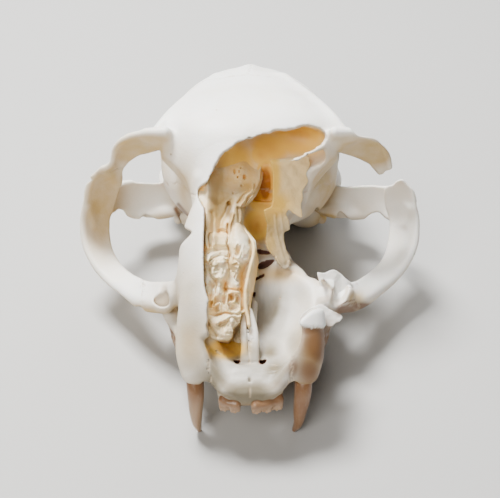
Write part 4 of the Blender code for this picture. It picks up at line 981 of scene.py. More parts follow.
class Paint:
    """A material that is put together step by step: `colour` is the colour so far, `height` the bumps."""

    def __init__(self, name, colour, roughness):
        self.material = bpy.data.materials.new(name)
        self.material.use_nodes = True
        self.nodes, self.links = self.material.node_tree.nodes, self.material.node_tree.links
        self.shader = self.nodes["Principled BSDF"]
        self.shader.inputs["Roughness"].default_value = roughness
        self.place = self.nodes.new("ShaderNodeTexCoord").outputs["Object"]
        self.colour, self.height = (*colour, 1), None

    def mark(self, name):
        """The value that the mesh carries under this name."""
        node = self.nodes.new("ShaderNodeAttribute")
        node.attribute_name = name
        return node.outputs["Fac"]

    def noise(self, size, detail=3, stretch=None):
        """Clouds of a size in mm, from 0 to 1."""
        node = self.nodes.new("ShaderNodeTexNoise")
        node.inputs["Scale"].default_value = 1000 / size
        node.inputs["Detail"].default_value = detail
        self.links.new(self.stretched(stretch), node.inputs["Vector"])
        return node.outputs["Fac"]

    def stretched(self, stretch):
        """The place, drawn together along some axes so that a pattern runs along them."""
        if not stretch:
            return self.place
        node = self.nodes.new("ShaderNodeMapping")
        node.inputs["Scale"].default_value = stretch
        self.links.new(self.place, node.inputs["Vector"])
        return node.outputs["Vector"]

    def dots(self, size, radius, share):
        """Round dots of a radius in mm in a share of cells of a size in mm, 1 inside a dot."""
        cells = self.nodes.new("ShaderNodeTexVoronoi")
        cells.inputs["Scale"].default_value = 1000 / size
        self.links.new(self.place, cells.inputs["Vector"])
        near = self.ramp(cells.outputs["Distance"], radius / size, 0.6 * radius / size)
        split = self.nodes.new("ShaderNodeSeparateColor")
        self.links.new(cells.outputs["Color"], split.inputs["Color"])
        return self.times(near, self.ramp(split.outputs["Red"], 1 - share, 1.001 - share))

    def ramp(self, value, low, high, least=0.0, most=1.0):
        """`least` where the value is at `low` and `most` at `high`, smoothly between."""
        node = self.nodes.new("ShaderNodeMapRange")
        node.interpolation_type = "SMOOTHSTEP"
        for key, number in (("From Min", low), ("From Max", high), ("To Min", least), ("To Max", most)):
            node.inputs[key].default_value = number
        self.links.new(value, node.inputs["Value"])
        return node.outputs["Result"]

    def times(self, one, other):
        """The two values multiplied."""
        node = self.nodes.new("ShaderNodeMath")
        node.operation = "MULTIPLY"
        for socket, value in zip(node.inputs, (one, other)):
            if isinstance(value, (int, float)):
                socket.default_value = value
            else:
                self.links.new(value, socket)
        return node.outputs[0]

    def patchy(self, name, noise, *limits):
        """A mark of the mesh, made uneven by clouds."""
        return self.times(self.mark(name), self.ramp(noise, *limits))

    def tint(self, colour, share):
        """Turns the colour so far towards another one by a share."""
        node = self.nodes.new("ShaderNodeMix")
        node.data_type = "RGBA"
        sockets = [s for s in node.inputs if s.type == "RGBA"]
        if isinstance(self.colour, tuple):
            sockets[0].default_value = self.colour
        else:
            self.links.new(self.colour, sockets[0])
        sockets[1].default_value = (*colour, 1)
        self.links.new(share, node.inputs["Factor"])
        self.colour = next(s for s in node.outputs if s.type == "RGBA")

    def raise_by(self, value, amount):
        """Adds to the bumps a value times an amount in mm."""
        node = self.nodes.new("ShaderNodeMath")
        node.operation = "MULTIPLY_ADD"
        self.links.new(value, node.inputs[0])
        node.inputs[1].default_value = amount
        if self.height is not None:
            self.links.new(self.height, node.inputs[2])
        else:
            node.inputs[2].default_value = 0
        self.height = node.outputs[0]

    def glow(self, weight, radius, depth):
        """Lets light in, through a depth in mm, further for red than for blue."""
        self.shader.inputs["Subsurface Weight"].default_value = weight
        self.shader.inputs["Subsurface Radius"].default_value = radius
        self.shader.inputs["Subsurface Scale"].default_value = 0.001 * depth

    def done(self):
        """Joins colour and bumps to the shader and gives the material."""
        self.links.new(self.colour, self.shader.inputs["Base Color"])
        if self.height is not None:
            bump = self.nodes.new("ShaderNodeBump")
            bump.inputs["Strength"].default_value = 1.0
            bump.inputs["Distance"].default_value = 0.001
            self.links.new(self.height, bump.inputs["Height"])
            self.links.new(bump.outputs["Normal"], self.shader.inputs["Normal"])
        return self.material


def bone_paint(name):
    """Dry bleached bone: nearly white where it stands out, with painted shade below and in hollows, amber stain
    in the nose and the sinus.
    """
    paint = Paint(name, (0.92, 0.915, 0.885), 0.47)
    paint.tint((0.84, 0.80, 0.72), paint.ramp(paint.noise(9, 4), 0.42, 0.72, 0, 0.5))
    # painted shade, yellow-brown, on faces turned from the light, in hollows and in shaded patches
    paint.tint((0.50, 0.335, 0.115), paint.patchy("tan", paint.noise(5, 4), 0.2, 0.8, 0.75, 1.0))
    paint.tint((0.58, 0.50, 0.40), paint.times(paint.mark("broken"), 0.75))
    amber = paint.mark("amber")
    paint.tint((0.92, 0.555, 0.085), paint.ramp(amber, 0.0, 0.8, 0, 0.98))
    deeper = paint.times(paint.ramp(amber, 0.8, 1.2), paint.ramp(paint.noise(2.6, 3), 0.3, 0.7, 0.5, 1.0))
    paint.tint((0.78, 0.40, 0.06), deeper)
    # painted shade: the strongest amber turns brown in the deepest pockets
    paint.tint((0.42, 0.15, 0.015), paint.ramp(amber, 1.15, 1.5))
    # painted shade that dims the front faces
    paint.tint((0.18, 0.15, 0.095), paint.patchy("dim", paint.noise(7, 3), 0.3, 0.7, 0.75, 1.0))
    # painted shade in dark brown patches, with the real dark fibres
    paint.tint((0.155, 0.068, 0.024), paint.ramp(paint.mark("brown"), 0.05, 1.0, 0, 0.92))
    # painted shade in hollows
    paint.tint((0.50, 0.34, 0.20), paint.times(paint.mark("hollow"), 0.72))
    # painted shade in tight crevices and shallow holes, with real specks of dirt and the crack
    paint.tint((0.13, 0.035, 0.015), paint.ramp(paint.mark("pit"), 0.35, 1.0, 0, 0.93))
    seam = paint.patchy("seam", paint.noise(1.4, 2), 0.38, 0.62)
    paint.tint((0.58, 0.45, 0.31), paint.times(seam, 0.55))
    dots = paint.dots(3.1, 0.26, 0.16)
    paint.tint((0.52, 0.38, 0.24), paint.times(dots, 0.8))
    paint.raise_by(paint.noise(0.55, 3), 0.05)
    paint.raise_by(paint.noise(2.4, 3), 0.05)
    paint.raise_by(seam, -0.10)
    paint.raise_by(dots, -0.12)
    paint.glow(0.12, (1.0, 0.62, 0.36), 1.2)
    return paint.done()


bone = bone_paint("bleached_bone")
for number, name in enumerate(bone_names, 1):
    faces = skin_faces(row, numbers, number)
    piece = skin_piece(name + "_bone", points, faces, normals, marks, bone)
    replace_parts(piece, name)

# ------------------------------------------------------------------ broken wall of the left side
# What is left between the nose and the left eye socket: a paper-thin fan of bone that hangs from the edge
# of the sinus and runs on down as a ragged leaf, and two splinters that stand up where the cheek bone broke
# off the upper jaw, the lower one grown onto the flake of the rim. It all shares the skull's own finish.

wall = Space((-0.6, 10, 1.5), (23.6, 46.5, 37.5), grain=0.2)


def leaf(corners, back_of, thick, low, high):
    """A thin sheet that looks like an outline from the eye point, and lies as far back as `back_of` says
    for each (x, up). Its distance is the larger of that to the outline and that across the sheet."""
    low, high, outline = window(corners, low, high, 2)

    def distance(x, y, z):
        rise = (back_of(x, z + 0.3) - back_of(x, z - 0.3)) / 0.6
        run = (back_of(x + 0.3, z) - back_of(x - 0.3, z)) / 0.6
        across_sheet = np.abs(y - back_of(x, z)) / np.sqrt(1 + rise ** 2 + run ** 2)
        return np.maximum(across_sheet - thick / 2, outline(x, y, z))
    return low, high, distance


def fan_back(x, z):
    """Distance back of the fan: level with the sinus edge above, forward and down below, with creases
    that spread from its upper left corner."""
    spread = np.arctan2(x - 3.0, 36.5 - z)
    crease = 0.11 * np.sin(spread * 30 + 0.5 * np.sin(3 * z)) * between(x, 5.2, 8.5) * between(z, 17, 21)
    fibre = 0.035 * np.sin(6.0 * x + 2.2 * z) * between(-z, -19, -16)
    base = np.interp(
        z, [10, 12.6, 14.2, 16.6, 20, 24, 31, 34], [28.4, 29.8, 31.4, 33.6, 35.2, 36.6, 38.9, 39.8])
    base = base + 0.42 * (x - 5.0) * between(z, 15.5, 23)
    return base + 0.30 * (x - 5.0) * between(-z, -18, -14) + crease + fibre


FAN = [
    (4.6, 19.2), (6.3, 19.4), (9.8, 19.8), (12, 20.2), (12.8, 19.9), (12.6, 19.1), (13, 18.5), (12.7, 17.4),
    (12.1, 16.3), (12.35, 15.2), (12.5, 14.4), (11.7, 13.3), (11.2, 12.2), (11.35, 10.9), (10.9, 9.6),
    (11.1, 8.2), (11.2, 6.7), (10.4, 7), (9.8, 7.4), (9.1, 7.7), (8.4, 8.5), (7.7, 7.7), (8, 6.9), (8.4, 5.9),
    (8.5, 4.9), (8.5, 4.1), (7.8, 3.8), (7.2, 3.4), (7.1, 2.4), (7.3, 1.2), (7.8, -0.2), (8.4, -1.5),
    (8.5, -2.6), (8.3, -3.8), (7.5, -4), (6.9, -3.7), (6.3, -2.9), (5.7, -1.9), (4.7, -1.2), (4, -0.4),
    (3.5, 0.6), (3.3, 1.9), (3.5, 3.6), (3.6, 5.6), (3, 7.4), (3.3, 8.5), (4.4, 8.8), (4.8, 10.5), (4.9, 12.7),
    (4.9, 15.7), (4.6, 17.4),
]
wall.add(leaf(FAN, fan_back, 0.46, (0.5, 27, 10), (19, 46, 36)), soft=0.15, rough=roughness(0.05, 0.5, 21))
# rolled lower lip of the leaf, and the crease where fan and leaf meet
lip = np.array([(5.6, -1.9), (6.3, -3.0), (6.9, -3.7), (7.6, -3.9), (8.2, -3.6), (8.4, -2.6)])


def meeting(points, back_of, start):
    """Seen points brought onto a sheet: its distance back is read again at each place, eight times."""
    back = np.full(len(points), float(start))
    for _ in range(8):
        place = sighted(points[:, 0], points[:, 1], back)
        back = 0.5 * back + 0.5 * back_of(place[:, 0], place[:, 2])
    return sighted(points[:, 0], points[:, 1], back)


wall.add(rod([(*p, 0.26) for p in meeting(lip, fan_back, 31) - (0, 0.25, 0)], 0.15), soft=0.3)
for line, radius in (
    ([(3.2, 8.3), (4.4, 8.7), (5.6, 8.5), (6.6, 8)], 0.24),
    ([(4.6, 18.8), (7, 18.7), (10, 19.4), (12, 20)], 0.28),
    ([(5.4, 7.6), (5.6, 4.6), (6.4, 1), (7.4, -2.6)], 0.12),
    ([(6.6, 7.4), (7, 4.8), (7.2, 2.6), (7.6, -0.6)], 0.1),
):
    ridge = meeting(np.array(line), fan_back, 36) - (0, 0.2, 0)
    wall.add(rod([(*p, radius) for p in ridge], 0.15), soft=0.35)

UPPER_SPLINTER = [
    (14.4, -4.9), (15.2, -5.1), (16.2, -5.1), (17.1, -4.6), (17.7, -4.4), (18.4, -4.6), (19.7, -5.5),
    (20.7, -6.5), (21.6, -7.2), (22.3, -8.2), (21.1, -9), (19.4, -9.6), (17.6, -10), (16.3, -9.6), (15.5, -8.4),
    (14.8, -6.9), (14.5, -5.8),
]


def upper_back(x, z):
    """The upper splinter stands up and bends back at its right end."""
    return 25.0 + 0.38 * (x - 13) + 0.04 * (x - 15.5) ** 2 + 0.75 * (z - 9) + 0.12 * np.sin(2.2 * x)


def lower_back(x, z):
    """The lower splinter leans back as the muzzle does, and bends back at its tip."""
    return 11.4 + 1.35 * (z - 6.3) + 0.34 * (x - 11) + 0.03 * (x - 11) ** 2


upper = leaf(UPPER_SPLINTER, upper_back, 0.7, (11, 20, 5), (22, 34, 16))
lower = leaf(LOWER_SPLINTER, lower_back, 0.9, (8, 10, 3), (20, 27, 13))
wall.add(upper, soft=0.3, rough=roughness(0.07, 0.9, 23))
wall.add(lower, soft=0.3, rough=roughness(0.06, 0.8, 25))


def grown_piece(name, space, marks_of, paint):
    """All that stands in a block of space as one closed piece, with the marks of its points."""
    numbers = (space.far < 0).astype(np.uint8)
    row, points, normals = bone_surface(space, numbers)
    marks = marks_of(space, points, normals)
    piece = skin_piece(name, points, skin_faces(row, numbers, 1), normals, marks, paint)
    return piece


def own_marks(space, points, normals):
    """The marks of bone that stands by itself: it has no inside and no sutures."""
    marks = bone_marks(space, points, normals, np.zeros(len(points)))
    marks["seam"] = 0 * marks["tan"]
    return marks


def wall_marks(space, points, normals):
    """The same, with amber along the fan's root and on the leaf, which is greyer lower down."""
    marks = own_marks(space, points, normals)
    u, v = seen(*points.T)
    on_leaf = between(-u, -14, -12.9)
    amber = spotted(u, v, [(4.6, 9.5, 3.0, 2.4, 0.45), (5.0, 15, 1.2, 5.0, 0.5), (3.4, 4, 2.0, 6, 0.4)])
    marks["amber"] = np.clip(amber + 0.5 * between(v, -7, -2) * on_leaf, 0, 1)
    marks["dim"] = 0.75 * on_leaf * between(-v, -10, -4)
    marks["tan"] = 0.5 * marks["tan"]
    return marks


grown_piece("broken_wall", wall, wall_marks, bone)

# ------------------------------------------------------------------ scrolls of the right side of the nose
# The crumpled scrolls that warmed the air: bone as thin as paper, rolled and folded and still brittle,
# stained amber in patches, with painted shade, amber to brown, in its folds and in dim spots. They grow
# from the nose's right wall as one mass.


def dome(u, v, a, b, wide, high, tall, turn=0.0):
    """A round swelling: height times the root of 1 - q², with q the distance over the half widths."""
    c, s = math.cos(math.radians(turn)), math.sin(math.radians(turn))
    du, dv = (u - a) * c + (v - b) * s, (v - b) * c - (u - a) * s
    return tall * np.sqrt(np.clip(1 - (du / wide) ** 2 - (dv / high) ** 2, 0, 1))


turns = np.linspace(0.3, 4.4 * math.pi, 26)
SWIRL = [(-6.3 + (1.75 - 0.105 * t) * math.cos(t), -4.7 + (1.95 - 0.12 * t) * math.sin(t)) for t in turns]
# What the relief adds up: ridges and creases as (line, width, height), and round swellings and pits as
# (across, up, half width, half height, height, turn). A height below 0 goes in.
SCROLL_FORMS = [
    # smooth upper part with its two folds
    ([(-4.1, 10.5), (-4.3, 9.9), (-5.3, 7.9), (-6.3, 5.9), (-6.5, 4.1)], 0.45, -0.5),
    ([(-8.4, 7.8), (-8.05, 6.3), (-8.1, 3.6), (-8.2, 0.7)], 0.36, -0.5),
    ([(-2.6, 8.6), (-2.45, 6.9), (-2.3, 5.4), (-1, 4.3), (0.05, 3), (0.4, 1.3), (0.3, -0.6),
     (-0.4, -2.9)], 0.34, -0.8),
    # back wall above them: a round shell with a torn, wavy lip, and the holes that nerves came through
    ([(2.5, 18.4), (2.35, 17), (2, 14.4), (1.5, 13.2), (0.8, 12.3), (0, 11.1)], 0.26, 0.7),
    ([(0.8, 13.7), (0.5, 12.7), (-0.4, 11.9), (-1.5, 10.4), (-2.1, 9)], 0.28, 0.9),
    ([(1, 12.2), (0.1, 11.5), (-0.7, 10.6), (-1.2, 9.2)], 0.22, -0.9),
    ([(-0.2, 12.5), (-1.5, 11.3), (-2.6, 9.8)], 0.22, -0.7), (-3.4, 16.6, 0.26, 0.62, -1.2),
    (-2.3, 16.7, 0.22, 0.32, -1), (-1, 15.4, 0.42, 0.5, -1.3), (-1.75, 13.6, 0.27, 0.3, -1.3),
    (-3.6, 11.9, 0.3, 0.3, -0.9), (-2.6, 15.5, 0.2, 0.26, -1), (-1.9, 17.4, 0.18, 0.2, -0.9),
    (-4.7, 9.8, 0.42, 0.55, -1.2), (-5.9, 3.7, 1.2, 0.8, -0.8),
    # two pale panels and the fold between them
    (-2.1, 0.8, 2.1, 4.6, 1.9, 8),
    ([(-3.6, 7.4), (-4.15, 5.3), (-4.3, 3), (-4.25, 0.35), (-3.8, -1.6), (-3.6, -3.1)], 0.2, 0.9),
    ([(-4.75, 5.2), (-4.8, 2.4), (-4.75, 0.4), (-4.4, -1.6)], 0.2, -1.1), (-2.55, -0.6, 0.62, 1.25, -1, -24),
    ([(-3.3, 0.1), (-2.9, 0.95), (-2.2, 0.6), (-2, -0.6), (-2.5, -1.9), (-3.1, -1.7)], 0.2, 0.55),
    # left strip
    ([(-9.3, 3.6), (-9.4, 1.7), (-9.2, 0.3)], 0.26, 0.9), ([(-8.75, 3.4), (-8.8, 1.6), (-8.7, 0.6)], 0.2, -0.9),
    # great lumps, with the swirl of the longest scroll
    (-6.9, -1.9, 2.4, 1.6, 1.9, 8), (-6.4, -4.6, 2.1, 2.4, 1.9),
    ([(-9, -2.3), (-8.1, -1.1), (-6.5, -0.6), (-4.7, -0.9)], 0.34, 0.6),
    ([(-8.6, -3.1), (-7.1, -2.3), (-5.3, -2.1), (-4.5, -2.9)], 0.3, 0.45),
    ([(-8.9, -2.9), (-7.6, -1.8), (-5.9, -1.5), (-4.6, -1.8)], 0.2, -0.5), (SWIRL, 0.32, 0.22),
    ([(-8.4, -4.4), (-8.1, -5.8), (-7.4, -6.8)], 0.24, -1),
    # hanging tongue and the pockets beside it
    ([(-6.5, -6.5), (-6.6, -8.2), (-6.5, -9.8)], 0.85, 1.7),
    ([(-7.15, -6.6), (-7.3, -8.2), (-7.2, -9.6)], 0.16, -0.7), (-8.4, -9, 0.9, 2.2, -0.9),
    (-5.1, -8.3, 0.55, 1.5, -1), (-8.4, -12, 0.8, 0.9, -0.8), (-7.1, -12.9, 0.7, 0.6, -0.6),
    (-5.5, -11, 0.5, 1, -0.7), ([(-7.7, -10.5), (-7.8, -12.4), (-6.6, -11.6), (-6.3, -13)], 0.22, 0.9),
    # right column with its curl, and the deep strip next to the septum
    ([(-3.6, -3.1), (-2.8, -4.4), (-3.2, -6.2), (-2.9, -7.9)], 0.7, 1.6),
    ([(-3.3, -3), (-2.8, -2.8), (-2.5, -3.3), (-2.8, -3.8), (-3.2, -3.6)], 0.16, 0.8),
    ([(-3.5, -4.9), (-2.9, -5.4), (-3.3, -6.4), (-2.7, -7)], 0.16, -0.8),
    ([(-0.9, -3.4), (-1.5, -6.2), (-1.7, -8.8), (-1.8, -12.8)], 0.7, -1.7),
    ([(-5.3, -8.6), (-4.4, -8.5), (-3.2, -8.8), (-2.1, -8.6)], 0.22, -0.8),
    # ring of cells
    ([(-4.8, -9.7), (-3.5, -9.3), (-2.2, -9.5), (-2, -11.5), (-2.5, -13.3), (-4.2, -13.4), (-4.9, -11.8),
     (-4.8, -9.7)], 0.26, 1.2),
    ([(-3.3, -9.6), (-3.2, -10.6), (-3.5, -11.4), (-4.5, -11.5)], 0.24, 0.6), (-3.95, -10.5, 0.45, 0.6, -1, 15),
    (-2.65, -10.8, 0.35, 0.8, -0.8, -8), (-3.4, -12.4, 0.7, 0.45, -0.8, 12),
    # lowest lobe with its white fold and knob
    (-5.9, -17, 3.4, 3.1, 2.2, 12), ([(-6.9, -15.9), (-5.6, -15.2), (-4.3, -14.5), (-2, -14.4)], 0.34, 1.2),
    ([(-6.6, -16.5), (-5.4, -15.95), (-4.6, -15.4)], 0.18, -0.8), (-4, -15.4, 0.6, 0.55, 0.9),
    (-4.7, -18, 1.4, 1.5, 0.8), ([(-9, -13.9), (-7, -14), (-5, -13.8), (-4, -14.1)], 0.3, -0.8),
    ([(-8.9, -16.4), (-8, -17.4), (-7.2, -18.6)], 0.3, -0.8),
]
SCROLL_SWELLS = [(-7.4, 7.6, 1.6, 3.0, 0.7), (-3.4, 7.4, 1.3, 2.8, 0.7), (-1.0, 14.6, 2.8, 4.0, 0.5)]


def scroll_relief(u, v):
    """How far the scrolls stand out towards the eye point at each seen place, in mm: swellings, thin
    rolled ridges and creases added up, less the deep folds between them."""
    u, v = (value + 0.22 * cloud(u, v, 0 * u, 1.3, seed) for value, seed in ((u, 60), (v, 61)))
    h = 0.35 * cloud(u, v, 0 * u, 2.4, 62)
    for form in SCROLL_FORMS:
        h += trail(u, v, *form) if len(form) == 3 else dome(u, v, *form)
    for swell in SCROLL_SWELLS:
        h += spotted(u, v, [swell])
    # two pale panels, whose lower edge is wavy
    lower = -3.3 - 0.35 * np.sin(3.0 * (u + 8))
    h += 1.1 * between(v, 0.2, 1.1) * between(-v, lower, -2.6) * between(u, -8.1, -7.7) * between(-u, 4.45, 4.7)
    # crumpled everywhere, least on the smooth upper part and the panels
    rumple = np.abs(cloud(u, v, 0 * u, 0.9, 63)) + 0.5 * np.abs(cloud(u, v, 0 * u, 0.45, 64))
    return 0.85 * h - 0.26 * rumple * between(-v, -2, 2) - 0.05 * rumple


SCROLL_ROWS, SCROLL_COLUMNS = 382, 127
rows_v = np.linspace(-20.8, 23.0, SCROLL_ROWS)
septum_side = np.interp(
    rows_v, [-16, -12.5, -8.2, -4.9, 0, 1.7, 5.4, 9, 10.4, 11.5, 13, 15, 17.2, 18.2, 19],
    [-1.6, -1.0, -1.0, -0.2, 0.75, 0.5, -2.2, -1.6, -0.2, 0.7, 1.4, 2.0, 2.2, 2.6, 2.9])[:, None]
scroll_left, septum_overlap = -11.9, 0.7
scroll_wide = septum_side + septum_overlap - scroll_left
scroll_u = scroll_left + scroll_wide * np.linspace(0, 1, SCROLL_COLUMNS)[None, :]
scroll_v = rows_v[:, None] + 0 * scroll_u
lower_edge = np.interp(scroll_u, [-10.4, -9.2, -8.4, -6.8, -4.6, -3.8, -3.55, -2.2, -1.8, 1.0],
                       [-18.0, -18.2, -19.2, -19.7, -19.7, -18.7, -16.8, -15.8, -13.8, -13.0])
relief = scroll_relief(scroll_u, scroll_v)
front = np.minimum(25 + 0.83 * scroll_v + 0.004 * scroll_v ** 2, 40.6 + 0.2 * (scroll_v - 17))
# above, the round back shell; then the curled left edge, the open lower edge, and the edge by the septum
shell = 38.6 + 2.6 * between(scroll_v, 12, 20) + 2.2 * between(scroll_v, 17, 21)
shell = shell + 3.0 * between(scroll_v, 19.5, 23)
shell = shell + 3.0 * between(scroll_u, -2.5, 2.5) * between(scroll_v, 15, 19)
rising = between(scroll_v, 11.5, 16.0)
front = front + rising * (shell - front) + 0.02 * (1 - rising) * (scroll_u + 5) ** 2 - relief
left_edge = between(-scroll_u, 5.6, 8.4) * between(scroll_u, -10.0, -8.9)
front = front - 1.6 * left_edge * between(scroll_v, 10.5, 13.5) * between(-scroll_v, -19, -15)
front = front + 6.0 * between(lower_edge - scroll_v, -0.25, 0.9)
front = front + 1.6 * between(scroll_u - septum_side, -0.1, 0.6)
front = front - 2.6 * between(-scroll_u, 6.6, 9.4) * between(-scroll_v, -18, -14)


def flat_mean(values, reach):
    """The mean over a square of `reach` steps to every side."""
    return averaged(values[:, :, None].astype(np.float32), reach)[:, :, 0]


behind = np.maximum(front, flat_mean(front, 3)) + 2.4
rings = [sighted(scroll_u, scroll_v, front), sighted(scroll_u, scroll_v, behind)[:, ::-1]]


def ring_piece(name, rings, values, paint):
    """A closed piece from a stack of closed rings, rows by points by 3: neighbouring rings are joined by
    four-cornered faces, and each end by triangles to the middle of its ring. Turned outwards."""
    rows, count = rings.shape[:2]
    number = np.arange(rows * count).reshape(rows, count)
    after = np.roll(number, -1, axis=1)
    quads = np.stack([number[:-1], after[:-1], after[1:], number[1:]], -1).reshape(-1, 4)
    first, last = rows * count, rows * count + 1
    caps = np.vstack([
        np.stack([after[0], number[0], np.full(count, first)], -1),
        np.stack([number[-1], after[-1], np.full(count, last)], -1),
    ])
    points = np.vstack([rings.reshape(-1, 3), rings[0].mean(0), rings[-1].mean(0)])
    a, b, c = (points[quads[:, k]] - points.mean(0) for k in (0, 1, 2))
    if (np.cross(a, b) * c).sum() < 0:
        quads, caps = quads[:, ::-1], caps[:, ::-1]
    mesh = bpy.data.meshes.new(name)
    mesh.from_pydata(rested(points).tolist(), [], quads.tolist() + caps.tolist())
    return finished(name, mesh, {
        key: np.concatenate([value.ravel(), [value[0].mean(), value[-1].mean()]])
        for key, value in values.items()
    }, paint)


def round_ring(values):
    """The values of the seen side, with those of the hidden side after them in turn."""
    return np.concatenate([values, values[:, ::-1]], axis=1)


great_lump = spotted(scroll_u, scroll_v, [(-6.6, -3.2, 2.8, 3.8, 0.85)])
# Painted shade: the folds, where the relief lies below its wider mean, darken, least on the great lump.
fold_shade = between(flat_mean(relief, 9) - flat_mean(relief, 2), 0.1, 1.3) * (1 - great_lump)
# Painted shade in dim spots, most on the smooth upper part that faces the light.
shade = spotted(scroll_u, scroll_v, [
    (-6.5, 8, 3.6, 4.6, 1), (-2.6, 8, 3, 4, 1.1), (-4.6, 8.4, 1.8, 3.6, 1.25), (-3.9, -3, 1.4, 3, 0.6),
    (-5.3, -17.4, 2.8, 2.6, 0.5),
])
stain = spotted(scroll_u, scroll_v, [
    (-8.4, -12, 1.8, 2.6, 0.95), (-1.6, -8, 0.9, 6, 1), (-3.6, -10.5, 2, 2.6, 0.7), (-5.9, 3.8, 1.4, 0.9, 0.95),
    (-5.2, 8, 0.8, 2.4, 0.7), (-8.9, 0.3, 1, 1.2, 0.8), (-5, -8.3, 1, 1.8, 0.9), (-8.9, -16.5, 1.6, 2.4, 0.8),
    (-2.5, -0.6, 0.5, 0.9, 0.8), (-7.8, -2.8, 2, 0.3, 0.4), (-3.6, -8.6, 1.6, 0.5, 1),
    (-8.2, 10.5, 3.2, 3.6, 0.35), (-3, 19.8, 5, 2.8, 0.95), (2, 21, 5, 2.6, 1.1), (-4.7, 9.8, 0.6, 0.7, 1.2),
    (-1, 15.2, 0.6, 0.7, 0.9), (-3.2, 16.2, 1.4, 1.2, 0.55), (-6.5, 1, 3.4, 0.3, 0.3),
    (-3.4, 16.4, 4.2, 6, 0.85), (-1.5, 19.5, 6, 3, 1), (-0.5, 14.5, 3, 4.6, 0.95), (-6, 7.5, 4.2, 5.5, 1.1),
    (-10.2, 12, 1.4, 2, 0.3), (-1.5, 9.5, 2, 3, 0.8), (-7, -2.2, 2, 0.5, 0.45), (-3.5, -1.5, 0.5, 2.5, 0.4),
    (-7.6, -7.6, 0.9, 1.2, 0.6), (-4, -2.8, 1.4, 2.4, 0.5), (-5.5, -17.5, 2.6, 2.4, 0.4),
    (-8.2, 15, 2.6, 3.4, 0.3),
])


def scroll_paint(name):
    """Paper-thin bone: cream on its ridges, amber stain in patches, and painted shade, amber to brown, in its
    folds and in dim spots.
    """
    paint = Paint(name, (0.76, 0.65, 0.43), 0.45)
    paint.tint((0.93, 0.87, 0.71), paint.ramp(paint.noise(3.0, 3), 0.40, 0.66, 0, 0.9))
    paint.tint((0.80, 0.50, 0.13), paint.patchy("amber", paint.noise(1.6, 3), 0.25, 0.7, 0.8, 1.0))
    # painted shade in the dim spots
    paint.tint((0.34, 0.245, 0.12), paint.patchy("dim", paint.noise(3.5, 2), 0.3, 0.7, 0.5, 0.75))
    paint.tint((0.17, 0.10, 0.035), paint.ramp(paint.mark("dim"), 0.85, 1.2, 0, 0.7))
    # painted shade, amber to brown, in the folds
    paint.tint((0.62, 0.31, 0.06), paint.ramp(paint.mark("fold_shade"), 0.05, 0.85, 0, 0.75))
    paint.tint((0.36, 0.14, 0.03), paint.ramp(paint.mark("fold_shade"), 0.8, 1.0, 0, 0.4))
    paint.raise_by(paint.noise(0.4, 3), 0.03)
    paint.glow(0.15, (1.0, 0.6, 0.3), 1.0)
    return paint.done()


scroll = scroll_paint("scroll_bone")
piece = ring_piece("nose_scrolls", np.concatenate(rings, axis=1), {
    "amber": round_ring(np.clip(stain, 0, 1)), "fold_shade": round_ring(fold_shade), "dim": round_ring(shade),
}, scroll)
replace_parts(piece, "scrolls_right")

# ------------------------------------------------------------------ septum of the nose
# The wall between the nose's two sides: a single sheet of bone, bent like an S where it dried, whose torn
# upper edge is a little thicker. Its foot stands between the two low walls of the nose's floor.

SEPTUM_EDGE = [
    (-2.3, 6.2, 32.6), (-1.9, 5, 31.2), (-0.9, 3.8, 29.6), (0.5, 1.8, 27.2), (0.85, 0, 25.4),
    (0.45, -2.4, 23.4), (-0.2, -4.9, 21.4), (-0.85, -8.2, 18.9), (-1, -10.3, 17.6), (-0.95, -12.5, 16.2),
    (-0.4, -14.6, 14.8), (-0.25, -16.4, 13.4),
]
edge_path = flowing(SEPTUM_EDGE, 8)
edge = sighted(edge_path[:, 0], edge_path[:, 1], edge_path[:, 2])
lean_over = np.interp(edge_path[:, 1], [-16, -12, -6, 0, 6], [0.1, 0.6, 0.8, 0.5, 0.3])
foot = edge + np.stack([lean_over, 3.4 + 0 * lean_over, -4.6 + 0 * lean_over], -1)
down = np.linspace(0, 1, 14)
half = 0.16 + 0.18 * np.exp(-(down / 0.10) ** 2) + 0.25 * down ** 2
sheet = edge[:, None] + (foot - edge)[:, None] * down[None, :, None]
sheet[..., 0] += 0.07 * cloud(sheet[..., 0], sheet[..., 1], sheet[..., 2], 1.1, 70)
side = np.zeros_like(sheet)
side[..., 0] = half[None, :]
top = edge[:, None] + np.array([[[0, -0.16, 0.22]]])
rings = np.concatenate([sheet - side, (sheet + side)[:, ::-1], top], axis=1)
depth = np.broadcast_to(np.concatenate([down, down[::-1], [0]]), rings.shape[:2])
# Painted shade in the septum's folds grows towards its foot.
piece = ring_piece("nose_septum", rings, {
    "amber": 0.55 + 0.4 * depth, "fold_shade": 0.5 * between(depth, 0.3, 1.4), "dim": 0 * depth,
}, scroll)
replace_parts(piece, "septum")

# ------------------------------------------------------------------ canines
# Two long eye teeth, a little flattened from side to side, with a shallow groove down each outer side. The
# ivory is darkest where the gum was. Each stands in its socket, and the skull rests on their points.


def tooth_paint(name):
    """Old enamel: ivory with fine lengthwise cracks, browner towards the root."""
    paint = Paint(name, (0.34, 0.22, 0.13), 0.30)
    # the neck mark: browner at the gum line, and painted shade all along the left canine
    paint.tint((0.19, 0.09, 0.038), paint.patchy("neck", paint.noise(2.0, 3), 0.2, 0.7, 0.65, 1.0))
    paint.tint((0.27, 0.175, 0.10), paint.ramp(paint.noise(0.5, 2, (1, 1, 0.12)), 0.56, 0.72, 0, 0.5))
    paint.raise_by(paint.noise(0.5, 2, (1, 1, 0.12)), 0.03)
    paint.glow(0.15, (1.0, 0.65, 0.4), 1.2)
    return paint.done()


tooth = tooth_paint("tooth_ivory")
CANINE_STEPS, CANINE_SIDES = 14, 48


